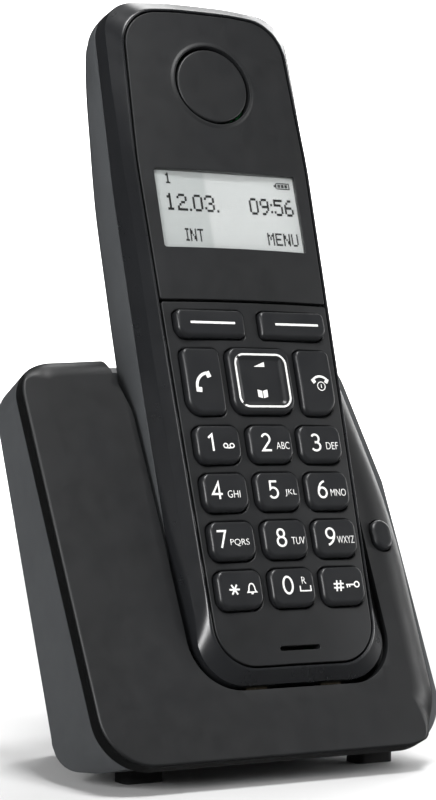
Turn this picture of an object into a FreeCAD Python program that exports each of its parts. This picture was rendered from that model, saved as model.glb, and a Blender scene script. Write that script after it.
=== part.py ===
"""Cordless telephone handset standing in its charging base, in millimetres, +Z up.

Origin: centre of the bounding box on the table plane. X is to the right of someone facing the
keys, Y runs to the rear. Handset pieces are drawn flat (x right, y towards the earpiece,
z out of the keypad) and then leaned back into the cradle.
"""
import FreeCAD, Part
import math
import os
import Sketcher

V = FreeCAD.Vector
doc = FreeCAD.newDocument("cordless_phone")
PIECES = {}

DIMS = {
    # handset
    "lean_back": 16.776, "stand_x": 6.2, "stand_y": -15.75, "stand_z": 65.55,
    "front_radius": 260.0, "shell_wall": 1.7, "parting_depth": 8.2, "parting_gap": 0.1,
    "front_round": 2.8, "back_round": 8.0, "panel_depth": 2.6, "seam_v": 35.4, "seam_gap": 0.25,
    "window_wide": 35.4, "window_tall": 18.1, "window_v": 56.65, "ear_v": 86.3,
    "ear_disc_radius": 8.7, "ear_ring_radius": 9.4, "mic_v": -40.3, "mic_slot_wide": 9.7,
    "mic_slot_tall": 0.9, "key_flange": 0.6, "key_flange_top": -2.9, "rocker_flange_top": -3.4, "key_gap": 0.3,
    "key_rise": 1.2, "key_edge": 0.7, "key_corner": 2.3,
    "number_wide": 10.4, "number_tall": 8.2, "number_pitch_u": 12.49, "number_pitch_v": 10.35,
    "number_first_v": 3.2, "board_wide": 40.6, "board_tall": 142.0, "board_thick": 1.2,
    "board_top": -6.0, "cell_radius": 5.25, "cell_long": 44.5, "cell_depth": 15.6,
    "cell_low": -28.0, "screw_u": 19.1, "screw_v": 24.0,
    # base
    "face_lean": 24.91, "face_foot_y": -36.56, "cover_depth": 4.0, "cover_wall": 2.0,
    "base_wall": 2.0, "pocket_back": -24.3, "well_deep": 53.2, "pocket_wall": 1.4, "base_under": 2.95,
    "plate_thick": 2.0, "page_wide": 5.0, "page_x": 35.2, "page_s": 53.8, "page_tall": 7.0, "page_rise": 1.0,
}


def make_sheet():
    """Put every driving number into the spreadsheet under its own name."""
    sheet = doc.addObject("Spreadsheet::Sheet", "dims")
    for row, (alias, value) in enumerate(DIMS.items(), start=1):
        sheet.set("A%d" % row, alias.replace("_", " "))
        sheet.set("B%d" % row, repr(value))
        sheet.setAlias("B%d" % row, alias)
    doc.recompute()


def bind(obj, **expressions):
    """Bind properties of an object to spreadsheet expressions."""
    for prop, text in expressions.items():
        obj.setExpression(prop, text)


# ---------------------------------------------------------------- drawing helpers
def corner_curves(corners):
    """Lines and arcs of a closed outline whose corners are (x, y, radius)."""
    count = len(corners)
    cuts = []
    for i, (x, y, radius) in enumerate(corners):
        here = V(x, y, 0)
        back = (V(*corners[i - 1][:2], 0) - here).normalize()
        ahead = (V(*corners[(i + 1) % count][:2], 0) - here).normalize()
        half = back.getAngle(ahead) / 2
        if radius <= 0 or half > math.pi / 2 - 1e-4:
            cuts.append((here, None, here))
            continue
        reach = radius / math.tan(half)
        middle = here + (back + ahead).normalize() * (radius / math.sin(half) - radius)
        cuts.append((here + back * reach, middle, here + ahead * reach))
    curves = []
    for i, (start, middle, end) in enumerate(cuts):
        if middle is not None:
            curves.append(Part.Arc(start, middle, end))
        following = cuts[(i + 1) % count][0]
        if end.distanceToPoint(following) > 1e-6:
            curves.append(Part.LineSegment(end, following))
    return curves


def box_corners(wide, tall, radius, x=0.0, y=0.0):
    """Corners of a rounded rectangle centred on (x, y)."""
    a, b = wide / 2, tall / 2
    return [(x - a, y - b, radius), (x + a, y - b, radius),
            (x + a, y + b, radius), (x - a, y + b, radius)]


def mirrored(right_side):
    """Close an outline given its right-hand corners from bottom to top."""
    return right_side + [(-x, y, r) for x, y, r in reversed(right_side)]


def grown(corners, by):
    """Move every side of a counter-clockwise outline outwards by a small amount."""
    count = len(corners)
    moved = []
    for i, (x, y, radius) in enumerate(corners):
        back, ahead = corners[i - 1], corners[(i + 1) % count]
        first = V(x - back[0], y - back[1], 0).normalize()
        second = V(ahead[0] - x, ahead[1] - y, 0).normalize()
        out_first, out_second = V(first.y, -first.x, 0), V(second.y, -second.x, 0)
        slide = (out_first + out_second) * (by / (1 + out_first.dot(out_second)))
        moved.append((x + slide.x, y + slide.y, max(radius + by, 0.0)))
    return moved


def sketch(name, loops, placement=FreeCAD.Placement()):
    """A sketch holding one or more closed outlines."""
    drawn = doc.addObject("Sketcher::SketchObject", name + "_sketch")
    for loop in loops:
        for curve in corner_curves(loop):
            drawn.addGeometry(curve, False)
    drawn.Placement = placement
    return drawn


def prism(name, loops, low, high, placement=FreeCAD.Placement()):
    """Extrude outlines along the sketch normal between two heights."""
    drawn = sketch(name, loops, placement)
    solid = doc.addObject("Part::Extrusion", name)
    solid.Base = drawn
    solid.DirMode = "Normal"
    solid.Solid = True
    solid.LengthFwd = high
    solid.LengthRev = -low
    return solid


def side_plane():
    """Placement whose sketch x is world y, sketch y is world z, normal world x."""
    return FreeCAD.Placement(V(0, 0, 0), FreeCAD.Rotation(V(0, 1, 0), V(0, 0, 1), V(1, 0, 0), "ZXY"))


def block(name, size, corner, **expressions):
    """A box given by its size and low corner."""
    solid = doc.addObject("Part::Box", name)
    solid.Length, solid.Width, solid.Height = size
    solid.Placement.Base = V(*corner)
    bind(solid, **expressions)
    return solid


def rod(name, radius, low, high, at, axis=V(0, 0, 1), **expressions):
    """A cylinder from low to high along an axis through `at`."""
    solid = doc.addObject("Part::Cylinder", name)
    solid.Radius = radius
    solid.Height = high - low
    turn = FreeCAD.Rotation(V(0, 0, 1), axis)
    solid.Placement = FreeCAD.Placement(V(*at) + turn.multVec(V(0, 0, low)), turn)
    bind(solid, **expressions)
    return solid


def combine(kind, name, parts):
    """A boolean of two or more solids: Fuse, Common or Cut (first minus the rest)."""
    if kind == "Cut":
        tool = parts[1] if len(parts) == 2 else combine("Fuse", name + "_tool", parts[1:])
        result = doc.addObject("Part::Cut", name)
        result.Base, result.Tool = parts[0], tool
        return result
    result = doc.addObject("Part::Multi" + kind, name)
    result.Shapes = parts
    return result


def rounded_edges(name, solid, radius, wanted, alias=None):
    """Round every edge of a solid that the test `wanted` accepts."""
    doc.recompute()
    rounds = doc.addObject("Part::Fillet", name)
    rounds.Base = solid
    picked = [i for i, edge in enumerate(solid.Shape.Edges, start=1) if wanted(edge)]
    rounds.Edges = [(i, radius, radius) for i in picked]
    return rounds


def publish(label, solid, placement=None):
    """Register a finished sub-part under its node name."""
    solid.Label = label
    if placement is not None:
        solid.Placement = placement.multiply(solid.Placement)
    PIECES[label] = solid
    return solid


def origin_plane(body, role="XY_Plane"):
    return [f for f in body.Origin.OriginFeatures if f.Role == role][0]


def rectangle_sketch(body, name, wide, tall, lift):
    """A centred rectangle in a body, driven by expressions for width and height."""
    drawn = body.newObject("Sketcher::SketchObject", name)
    drawn.AttachmentSupport = [(origin_plane(body), "")]
    drawn.MapMode = "FlatFace"
    drawn.AttachmentOffset = FreeCAD.Placement(V(0, 0, 0), FreeCAD.Rotation())
    drawn.setExpression(".AttachmentOffset.Base.z", lift)
    points = [V(-1, -1, 0), V(1, -1, 0), V(1, 1, 0), V(-1, 1, 0)]
    for i in range(4):
        drawn.addGeometry(Part.LineSegment(points[i], points[(i + 1) % 4]), False)
    for i in range(4):
        drawn.addConstraint(Sketcher.Constraint("Coincident", i, 2, (i + 1) % 4, 1))
        kind = "Horizontal" if i % 2 == 0 else "Vertical"
        drawn.addConstraint(Sketcher.Constraint(kind, i))
    drawn.addConstraint(Sketcher.Constraint("Symmetric", 0, 1, 2, 1, -1, 1))
    across = drawn.addConstraint(Sketcher.Constraint("DistanceX", 0, 1, 0, 2, 2))
    along = drawn.addConstraint(Sketcher.Constraint("DistanceY", 1, 1, 1, 2, 2))
    drawn.setExpression("Constraints[%d]" % across, wide)
    drawn.setExpression("Constraints[%d]" % along, tall)
    return drawn


def body_fillet(body, feature, radius, wanted):
    """Round edges of a body's latest feature."""
    doc.recompute()
    names = ["Edge%d" % i for i, e in enumerate(feature.Shape.Edges, start=1) if wanted(e)]
    rounds = body.newObject("PartDesign::Fillet", body.Name + "_round")
    rounds.Base = (feature, names)
    rounds.Radius = 0.5
    rounds.setExpression("Radius", radius)
    return rounds


def plate(label, wide, tall, low, thick, corner):
    """A flat rectangular body with rounded corners, sizes given as expressions."""
    body = doc.addObject("PartDesign::Body", label)
    drawn = rectangle_sketch(body, label + "_outline", wide, tall, low)
    pad = body.newObject("PartDesign::Pad", label + "_pad")
    pad.Profile = drawn
    pad.Length = 1
    pad.setExpression("Length", thick)
    body_fillet(body, pad, corner, upright)
    return body


def upright(edge):
    """True for an edge running along z."""
    box = edge.BoundBox
    return box.ZLength > 0.1 and box.XLength < 1e-3 and box.YLength < 1e-3


# ---------------------------------------------------------------- handset forms
def lean_placement():
    """Where the flat-drawn handset stands in the cradle."""
    turn = FreeCAD.Rotation(V(1, 0, 0), 90 - DIMS["lean_back"])
    return FreeCAD.Placement(V(DIMS["stand_x"], DIMS["stand_y"], DIMS["stand_z"]), turn)


OUTER = mirrored([(22.6, -47.4, 10.5), (24.0, 20, 200), (24.4, 62, 150), (23.3, 106.4, 8.4),
                  (8, 107.4, 60)])
FASCIA = mirrored([(18.9, -43.8, 9.0), (20.2, 13, 150), (21.3, 68, 120), (19.9, 102.8, 9.0),
                   (7, 103.7, 60)])
BACK = [(113, -12.0), (105, -17.0), (97, -19.7), (76, -22.3), (42, -23.7), (20, -23.9),
        (-5, -23.6), (-30, -22.6), (-55, -20.2)]


def back_profile(name, shift):
    """Side view of the handset: flat front line, curved back, extruded across the width."""
    points = [V(v, n + shift, 0) for v, n in BACK]
    curve = Part.BSplineCurve()
    curve.interpolate(points)
    drawn = doc.addObject("Sketcher::SketchObject", name + "_sketch")
    drawn.addGeometry(curve, False)
    first, last = points[0], points[-1]
    rim = [first, V(first.x, 6, 0), V(last.x, 6, 0), last]
    for start, end in zip(rim, rim[1:]):
        drawn.addGeometry(Part.LineSegment(start, end), False)
    drawn.Placement = side_plane()
    solid = doc.addObject("Part::Extrusion", name)
    solid.Base = drawn
    solid.DirMode = "Normal"
    solid.Solid = True
    solid.LengthFwd = 40
    solid.LengthRev = 40
    return solid


def front_barrel(name):
    """The gently convex front: a large cylinder lying along the handset."""
    solid = rod(name, DIMS["front_radius"], -70, 130, (0, 0, -DIMS["front_radius"]), V(0, 1, 0))
    bind(solid, Radius="dims.front_radius")
    return solid


def handset_form(name, inset):
    """The closed outer form of the handset, or the same form moved inwards by `inset`."""
    outline = prism(name + "_outline", [grown(OUTER, -inset)], -40, 6)
    profile = back_profile(name + "_profile", inset)
    parts = [outline, profile]
    if inset == 0:
        parts.append(front_barrel(name + "_barrel"))
    raw = combine("Common", name + "_raw", parts)

    def at_back(edge):
        return edge.BoundBox.ZMax < -8

    def at_front(edge):
        return edge.BoundBox.ZMin > -1.6 and edge.BoundBox.ZMax < 1
    form = rounded_edges(name + "_back_round", raw, DIMS["back_round"] - inset, at_back)
    if inset == 0:
        form = rounded_edges(name, form, DIMS["front_round"], at_front)
    return form


def number_keys():
    """Centre of each number key: name -> (u, v)."""
    names = ["key_%d" % n for n in range(1, 10)] + ["key_star", "key_0", "key_hash"]
    spots = {}
    for i, name in enumerate(names):
        column, row = i % 3 - 1, i // 3
        spots[name] = (column * DIMS["number_pitch_u"],
                       DIMS["number_first_v"] - row * DIMS["number_pitch_v"])
    return spots


FUNCTION_KEYS = {
    "soft_key_left": (-10.05, 29.95, 16.3, 6.1), "soft_key_right": (10.25, 29.95, 16.3, 6.1),
    "talk_key": (-13.6, 17.1, 8.8, 14.6), "end_key": (14.0, 17.1, 8.4, 14.6),
    "nav_key": (0.1, 17.2, 15.0, 14.6),
}


def all_keys():
    """Every key as name -> (u, v, wide, tall)."""
    keys = dict(FUNCTION_KEYS)
    for name, (u, v) in number_keys().items():
        keys[name] = (u, v, DIMS["number_wide"], DIMS["number_tall"])
    return keys


def boss_rods(name, radius, low, high):
    """A pair of rods at the handset screw positions."""
    return [rod("%s_%d" % (name, side), radius, low, high,
                (side * DIMS["screw_u"], DIMS["screw_v"], 0)) for side in (1, -1)]


# ---------------------------------------------------------------- handset sub-parts
def make_handset_shells(outer, lean):
    """Front frame, rear shell and battery cover, split from one form."""
    parting = -DIMS["parting_depth"]
    front_half = block("front_half", (60, 170, 20), (-30, -55, parting))
    cavity = prism("frame_cavity", [grown(OUTER, -DIMS["shell_wall"])], -30, -4.2)
    recess = prism("frame_recess", [grown(FASCIA, 0.22)], -DIMS["panel_depth"] - 0.1, 8)
    window = prism("frame_window", [grown(FASCIA, -0.9)], -10, 8)
    shell = combine("Common", "frame_blank", [outer, front_half])
    shell = combine("Cut", "frame_open", [shell, cavity, recess, window])
    bosses = combine("Fuse", "frame_bosses", boss_rods("frame_boss", 3.6, -8.1, -4.9))
    inside = combine("Common", "frame_boss_trim", [bosses, outer])
    shell = combine("Fuse", "frame_bossed", [shell, inside])
    pilots = boss_rods("frame_pilot", 0.85, -8.3, -5.6)
    windows = [block("charge_window_%d" % side, (5.1, 4.0, 3.5), (side * 9 - 2.55, -48.9, -8.05))
               for side in (-1, 1)]
    publish("handset_front_frame", combine("Cut", "front_frame", [shell] + pilots + windows), lean)

    inner = handset_form("inner_form", DIMS["shell_wall"])
    rear_half = block("rear_half", (60, 170, 40), (-30, -55, parting - DIMS["parting_gap"] - 40))
    rear = combine("Common", "rear_blank", [outer, rear_half])
    hollow = combine("Cut", "rear_hollow", [rear, inner])
    shelf = prism("cell_shelf", [box_corners(44, 68, 3, 0, -8)], -10.0, -9.0)
    end_wall = block("cell_end_wall", (44, 1.5, 30), (-22, 18.6, -39.0))
    inner_again = handset_form("inner_form_ribs", DIMS["shell_wall"] - 0.3)
    ribs = combine("Fuse", "rear_ribs", [shelf, end_wall])
    ribs = combine("Common", "rear_ribs_trim", [ribs, inner_again])
    bosses = combine("Fuse", "rear_bosses", boss_rods("rear_boss", 3.6, -30, -8.35))
    bosses = combine("Common", "rear_bosses_trim", [bosses, outer])
    rear = combine("Fuse", "rear_ribbed", [hollow, ribs, bosses])
    opening = prism("cover_opening", [box_corners(31.2, 80, 0.5, 0, -21.8)], -40, -15.2)
    slots = [block("ring_slot_%d" % i, (11, 1.1, 12), (-5.5, 62.2 + 2.4 * i, -28)) for i in range(4)]
    sinks = boss_rods("screw_sink", 2.9, -30, -15.5) + boss_rods("screw_pass", 1.35, -30, -8)
    rear = combine("Cut", "rear_shell", [rear, opening] + slots + sinks)
    publish("handset_rear_shell", rear, lean)

    slab = prism("cover_blank", [box_corners(30.6, 80, 0.5, 0, -22.1)], -40, -15.5)
    lining = handset_form("cover_inner", 1.5)
    cover = combine("Common", "cover_outer", [outer, slab])
    cover = combine("Cut", "cover_shell", [cover, lining])
    publish("battery_cover", cover, lean)


def make_front_panels(lean):
    """Display fascia and keypad panel, with the window, key holes and speaking slot."""
    depth = -DIMS["panel_depth"]
    barrel = front_barrel("panel_barrel")
    seam, gap = DIMS["seam_v"], DIMS["seam_gap"] / 2
    upper = block("fascia_zone", (60, 90, 20), (-30, seam + gap, -10))
    lower = block("panel_zone", (60, 100, 20), (-30, seam - gap - 100, -10))
    blank = prism("fascia_blank", [grown(FASCIA, -0.22)], depth, 6)
    fascia = combine("Common", "fascia_raw", [blank, barrel, upper])
    window = prism("fascia_window", [box_corners(DIMS["window_wide"], DIMS["window_tall"], 0.6, 0,
                                                 DIMS["window_v"])], -10, 8)
    ear = (0, DIMS["ear_v"], 0)
    ring = rod("ear_ring", DIMS["ear_ring_radius"], -1.7, 5, ear)
    bind(ring, Radius="dims.ear_ring_radius")
    dish = doc.addObject("Part::Cone", "ear_dish")
    dish.Radius1, dish.Radius2, dish.Height = 9.4, 22.0, 1.9
    dish.Placement.Base = V(0, DIMS["ear_v"], -0.35)
    holes = [rod("ear_hole_%d" % i, 0.5, -5, 5,
                 (9.0 * math.cos(i * math.pi / 4), DIMS["ear_v"] + 9.0 * math.sin(i * math.pi / 4), 0))
             for i in range(8)]
    fascia = combine("Cut", "fascia", [fascia, window, ring, dish] + holes)
    publish("display_fascia", fascia, lean)

    gap = DIMS["key_gap"]
    loops = [box_corners(w + 2 * gap, t + 2 * gap, DIMS["key_corner"] + gap, u, v)
             for u, v, w, t in all_keys().values()]
    slot = DIMS["mic_slot_tall"]
    loops.append(box_corners(DIMS["mic_slot_wide"], slot, slot / 2 - 0.01, 0.15, DIMS["mic_v"]))
    blank = prism("keypad_blank", [grown(FASCIA, -0.22)], depth, 6)
    panel = combine("Common", "keypad_raw", [blank, barrel, lower])
    openings = prism("key_openings", loops, -10, 8)
    publish("keypad_panel", combine("Cut", "keypad", [panel, openings]), lean)


def make_key(name, u, v, wide, tall, lean):
    """One key: a rounded cap standing on a wider flange under the panel."""
    body = doc.addObject("PartDesign::Body", name)
    seat = "dims.rocker_flange_top" if name == "nav_key" else "dims.key_flange_top"
    base = rectangle_sketch(body, name + "_flange_outline", "%.3f + 0.7" % wide,
                            "%.3f + 1.0" % tall, seat + " - dims.key_flange")
    flange = body.newObject("PartDesign::Pad", name + "_flange")
    flange.Profile = base
    flange.Length = 1
    flange.setExpression("Length", "dims.key_flange")
    top = rectangle_sketch(body, name + "_cap_outline", "%.3f" % wide, "%.3f" % tall, seat)
    cap = body.newObject("PartDesign::Pad", name + "_cap")
    cap.Profile = top
    cap.Length = 4
    cap.setExpression("Length", "dims.key_rise - " + seat)
    rounds = body_fillet(body, cap, "dims.key_corner", upright)

    def on_top(edge):
        return edge.BoundBox.ZMin > DIMS["key_rise"] - 0.01
    body_fillet(body, rounds, "dims.key_edge", on_top)
    drop = DIMS["front_radius"] - math.sqrt(DIMS["front_radius"] ** 2 - u * u)
    body.Placement = FreeCAD.Placement(V(u, v, -drop), FreeCAD.Rotation())
    publish(name, body, lean)


def make_display(lean):
    """Window lens, display cell and its holder."""
    at = V(0, DIMS["window_v"], 0)
    lens = plate("display_lens", "dims.window_wide - 0.2", "dims.window_tall - 0.2", "-1.9", "1.3",
                 "0.5")
    module = plate("lcd_module", "37.4", "23.0", "-4.7", "2.0", "0.6")
    for piece in (lens, module):
        piece.Placement.Base = at
        publish(piece.Name, piece, lean)
    frame = prism("holder_blank", [box_corners(39.2, 25.2, 1.0, 0, DIMS["window_v"])], -5.8, -3.6)
    bed = block("holder_bed", (37.7, 23.3, 3), (-18.85, DIMS["window_v"] - 11.65, -4.8))
    well = block("holder_well", (30, 14, 4), (-15, DIMS["window_v"] - 7, -7))
    publish("lcd_holder", combine("Cut", "holder", [frame, bed, well]), lean)


def make_sound_pieces(lean):
    """Earpiece disc, receiver capsule, ringer loudspeaker and microphone."""
    ear = (0, DIMS["ear_v"], 0)
    disc = rod("ear_disc", DIMS["ear_disc_radius"], -1.65, -0.12, ear)
    bind(disc, Radius="dims.ear_disc_radius")
    publish("earpiece_disc", disc, lean)
    body = rod("receiver_body", 7.5, -5.6, -3.0, ear)
    collar = rod("receiver_collar", 8.4, -3.4, -2.7, ear)
    publish("receiver_capsule", combine("Fuse", "receiver", [body, collar]), lean)
    basket = rod("ringer_basket", 10.0, -16.2, -14.2, (0, 66, 0))
    magnet = rod("ringer_magnet", 6.0, -14.3, -11.8, (0, 66, 0))
    publish("ringer_speaker", combine("Fuse", "ringer", [basket, magnet]), lean)
    publish("microphone", rod("mic_can", 3.0, -5.5, -3.3, (0, -39.2, 0)), lean)


def make_electronics(lean):
    """Circuit board, key mat, dome foil and aerial."""
    board = plate("handset_board_blank", "dims.board_wide", "dims.board_tall",
                  "dims.board_top - dims.board_thick", "dims.board_thick", "7.0")
    board.Placement.Base = V(0, 28.5, 0)
    notches = boss_rods("board_notch", 4.0, -12, -2)
    publish("handset_pcb", combine("Cut", "handset_board", [board] + notches), lean)
    mat = plate("mat_blank", "38.0", "70.0", "-5.55", "0.6", "5.0")
    foil = plate("foil_blank", "37.0", "69.0", "-5.85", "0.2", "5.0")
    for label, blank in (("keypad_mat", mat), ("dome_foil", foil)):
        blank.Placement.Base = V(0, 0.5, 0)
        notches = boss_rods(label + "_notch", 4.0, -12, -2)
        publish(label, combine("Cut", label + "_cut", [blank] + notches), lean)
    strip = block("aerial_strip", (28, 3.2, 0.4), (-14, 95.5, -5.6))
    leg = block("aerial_leg", (1.6, 3.2, 0.9), (-14, 95.5, -5.95))
    publish("handset_antenna", combine("Fuse", "aerial", [strip, leg]), lean)


def make_power_pieces(lean):
    """Cells, their contacts, charging contacts and shell screws."""
    for number, side in ((1, -1), (2, 1)):
        at = (side * 5.5, DIMS["cell_low"], -DIMS["cell_depth"])
        can = rod("cell_can_%d" % number, DIMS["cell_radius"], 0, DIMS["cell_long"] - 1.0, at, V(0, 1, 0))
        bind(can, Radius="dims.cell_radius", Height="dims.cell_long - 1")
        tip = rod("cell_tip_%d" % number, 1.9, DIMS["cell_long"] - 1.1, DIMS["cell_long"], at, V(0, 1, 0))
        publish("battery_cell_%d" % number, combine("Fuse", "cell_%d" % number, [can, tip]), lean)
    ends = []
    for side in (-1, 1):
        for v, thick in ((DIMS["cell_low"] - 0.7, 0.4), (DIMS["cell_low"] + DIMS["cell_long"] + 0.15, 0.4)):
            ends.append(block("cell_contact_%d_%d" % (side, round(v)), (8, thick, 8),
                              (side * 5.5 - 4, v, -DIMS["cell_depth"] - 3)))
    link = block("cell_link", (11, 0.4, 3), (-5.5, DIMS["cell_low"] - 0.7, -14.0))
    publish("battery_contacts", combine("Fuse", "cell_contacts", ends + [link]), lean)
    pads = [block("charge_pad_%d" % side, (5.0, 0.5, 3.4), (side * 9 - 2.5, -47.6, -8.0))
            for side in (-1, 1)]
    tails = [block("charge_tail_%d" % side, (2.0, 2.6, 0.5), (side * 9 - 1.0, -47.2, -7.6))
             for side in (-1, 1)]
    publish("charge_contacts", combine("Fuse", "charge_pads", pads + tails), lean)
    heads = boss_rods("shell_screw_head", 2.4, -16.7, -15.55)
    stems = boss_rods("shell_screw_stem", 0.8, -15.6, -6.0)
    publish("handset_screws", combine("Fuse", "shell_screws", heads + stems), lean)


def make_handset():
    """Everything that leaves the cradle."""
    lean = lean_placement()
    outer = handset_form("handset_outer", 0)
    make_handset_shells(outer, lean)
    make_front_panels(lean)
    make_display(lean)
    make_sound_pieces(lean)
    for name, (u, v, wide, tall) in all_keys().items():
        make_key(name, u, v, wide, tall, lean)
    make_electronics(lean)
    make_power_pieces(lean)


# ---------------------------------------------------------------- base forms
FACE = [(-40.6, 6.7, 11), (42.0, 6.7, 14), (43.6, 59.5, 50), (37.2, 100.8, 9), (-43.9, 95.9, 9)]
SLOT = mirrored([(24.1, -48.1, 11), (24.6, -14, 120), (25.45, 14, 12), (28.9, 25.0, 4), (30.5, 70, 0)])
BASE_SCREWS = [(-18.6, 12.0), (31.0, 12.0), (-18.6, -8.0), (31.0, -8.0)]
SIDE = [(-33.4, 6.2, 1.0), (-22.0, 3.6, 8), (-10.0, 2.95, 8), (22.6, 100.0, 1), (9.63, 100.0, 1)]


def face_placement():
    """Frame of the leaning front: x across, y up the face, z out of it."""
    turn = FreeCAD.Rotation(V(1, 0, 0), 90 - DIMS["face_lean"])
    return FreeCAD.Placement(V(0, DIMS["face_foot_y"], 0), turn)


def in_handset(solid):
    """Move a tool drawn in handset coordinates into the cradle."""
    solid.Placement = lean_placement().multiply(solid.Placement)
    return solid


def plan_profile(name, inset):
    """Section across the face: square left edge, generously rounded right edge."""
    face = face_placement()
    turn = FreeCAD.Rotation(V(1, 0, 0), 90)
    place = face.multiply(FreeCAD.Placement(V(0, 0, 0), turn))
    left, right = -46.0 + inset, 43.7 - inset
    return prism(name, [[(left, -40, 0), (right, -40, 0), (right, -inset, 9 - inset),
                         (left, -inset, 0.8)]], -120, 20, place)


def crown_profile(name, inset):
    """Section of the sloping top edge, rounded over towards the face."""
    slope = math.degrees(math.atan2(FACE[3][1] - FACE[4][1], FACE[3][0] - FACE[4][0]))
    foot = V(FACE[4][0], FACE[4][1], 0)
    turn = FreeCAD.Rotation(V(0, 0, 1), slope).multiply(FreeCAD.Rotation(V(0, 1, 0), -90))
    place = face_placement().multiply(FreeCAD.Placement(foot, turn))
    return prism(name, [[(-70, -130, 0), (-inset, -130, 0), (-inset, -inset, 5 - inset),
                         (-70, -inset, 0)]], -120, 40, place)


def slab_form(name, inset, front_inset=0.0):
    """The leaning slab, or the same form moved inwards."""
    face = prism(name + "_face", [grown(FACE, -inset)], -40, 5, face_placement())
    side = prism(name + "_side", [grown(SIDE, -inset)], -60, 60, side_plane())
    parts = [face, side, plan_profile(name + "_plan", front_inset), crown_profile(name + "_crown", inset)]
    return combine("Common", name, parts)


def front_zone(name, near, far):
    """Everything between two depths behind the face."""
    place = face_placement().multiply(FreeCAD.Placement(V(-60, -40, -far), FreeCAD.Rotation()))
    solid = doc.addObject("Part::Box", name)
    solid.Length, solid.Width, solid.Height = 120, 200, far - near
    solid.Placement = place
    return solid


def slot_tool(name, grow):
    """The space the handset drops into, with a deeper well behind for the battery cover."""
    back = DIMS["pocket_back"] - grow
    main = in_handset(prism(name + "_main", [grown(SLOT, grow)], back, 40))
    well = in_handset(block(name + "_well", (34 + 2 * grow, 20, -back - 14.6 + grow),
                            (-17 - grow, -DIMS["well_deep"] - grow, back)))
    return combine("Fuse", name, [main, well])


def make_base_shells():
    """Front cover, cradle pocket, rear housing and underside plate."""
    slot = slot_tool("slot_space", 0.0)
    slab = slab_form("slab", 0.0)
    inner = slab_form("slab_inner", DIMS["cover_wall"], DIMS["cover_wall"])
    page_hole = page_prism("page_hole", DIMS["page_wide"] + 0.6, DIMS["page_tall"] + 0.6, -20, 10)
    cover = combine("Common", "cover_front", [slab, front_zone("cover_zone", -10, DIMS["cover_depth"])])
    cover = combine("Cut", "front_cover", [cover, inner, slot, page_hole])
    publish("base_front_cover", cover)

    grip = slot_tool("pocket_space", DIMS["pocket_wall"])
    behind = front_zone("pocket_zone", DIMS["cover_wall"] + 0.1, 60)
    body = rear_body("pocket_limit", DIMS["base_wall"] + 0.1)
    reach = combine("Fuse", "pocket_reach", [slab_form("slab_pocket", 2.1, 2.1), body])
    pocket = combine("Common", "pocket_blank", [grip, behind, reach])
    springs = [in_handset(block("spring_hole_%d" % side, (5.6, 14, 4.6),
                                (side * 9 - 2.8, -56, -8.6))) for side in (-1, 1)]
    publish("cradle_pocket", combine("Cut", "pocket", [pocket, slot] + springs))

    rear_zone = front_zone("rear_zone", DIMS["cover_depth"] + 0.1, 90)
    shell = combine("Fuse", "rear_outer", [slab, rear_body("rear_lump", 0.0)])
    shell = combine("Common", "rear_outer_cut", [shell, rear_zone])
    void = combine("Fuse", "rear_void", [inner, rear_body("rear_lump_inner", DIMS["base_wall"])])
    under = block("under_opening", (56, 44, 6), (-21.8, -17.0, 0))
    mouths = [block("line_mouth", (11.0, 10, 8.4), (-12.5, 22, 11.0)),
              block("power_mouth", (9.0, 10, 7.4), (10.5, 22, 10.9))]
    posts = [rod("base_post_%d" % i, 3.4, 5.0, 13.0, (x, y, 0)) for i, (x, y) in enumerate(BASE_SCREWS)]
    pilots = [rod("base_pilot_%d" % i, 0.95, 4.0, 12.0, (x, y, 0)) for i, (x, y) in enumerate(BASE_SCREWS)]
    shell = combine("Cut", "rear_open", [shell, void, slot, under] + mouths)
    posts = combine("Common", "posts_trim", [combine("Fuse", "posts", posts), rear_body("post_limit", 1.0)])
    shell = combine("Fuse", "rear_posted", [shell, posts])
    publish("base_rear_housing", combine("Cut", "rear_housing", [shell] + pilots))

    plate_body = plate("base_bottom_cover", "55.4", "43.4", "dims.base_under", "dims.plate_thick", "1.0")
    plate_body.Placement.Base = V(6.2, 5.0, 0)
    sinks = [rod("plate_sink_%d" % i, 2.6, 2.0, 4.0, (x, y, 0)) for i, (x, y) in enumerate(BASE_SCREWS)]
    holes = [rod("plate_hole_%d" % i, 1.2, 2.0, 6.0, (x, y, 0)) for i, (x, y) in enumerate(BASE_SCREWS)]
    publish("base_bottom_cover", combine("Cut", "bottom_plate", [plate_body] + sinks + holes))


def rear_body(name, inset):
    """The lump behind the slab that carries the pocket, the board and the sockets."""
    corners = [(-20, 2.95, 2), (14.8, 2.95, 0.3), (15.6, 0.5, 0.6), (28.4, 0.5, 3), (34.0, 44, 12),
               (23.4, 86.6, 4), (0, 80, 1)]
    side = prism(name + "_side", [grown(corners, -inset)], -60, 60, side_plane())
    wide = block(name + "_wide", (60 - 2 * inset, 120, 120), (-23.8 + inset, -50, -10))
    return combine("Common", name, [side, wide])


def page_prism(name, wide, tall, low, high):
    """An oval column square to the face at the paging key."""
    return prism(name, [box_corners(wide, tall, wide / 2 - 0.05, DIMS["page_x"], DIMS["page_s"])], low, high,
                 face_placement())


def make_paging_key():
    """The handset-finder key on the right of the front."""
    crown = DIMS["page_rise"]
    cap = page_prism("page_cap", DIMS["page_wide"], DIMS["page_tall"], -3.3, crown)
    flange = page_prism("page_flange", DIMS["page_wide"] - 0.2, DIMS["page_tall"] + 2.4, -4.0, -3.2)
    publish("paging_key", combine("Fuse", "page_key", [cap, flange]))


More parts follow.
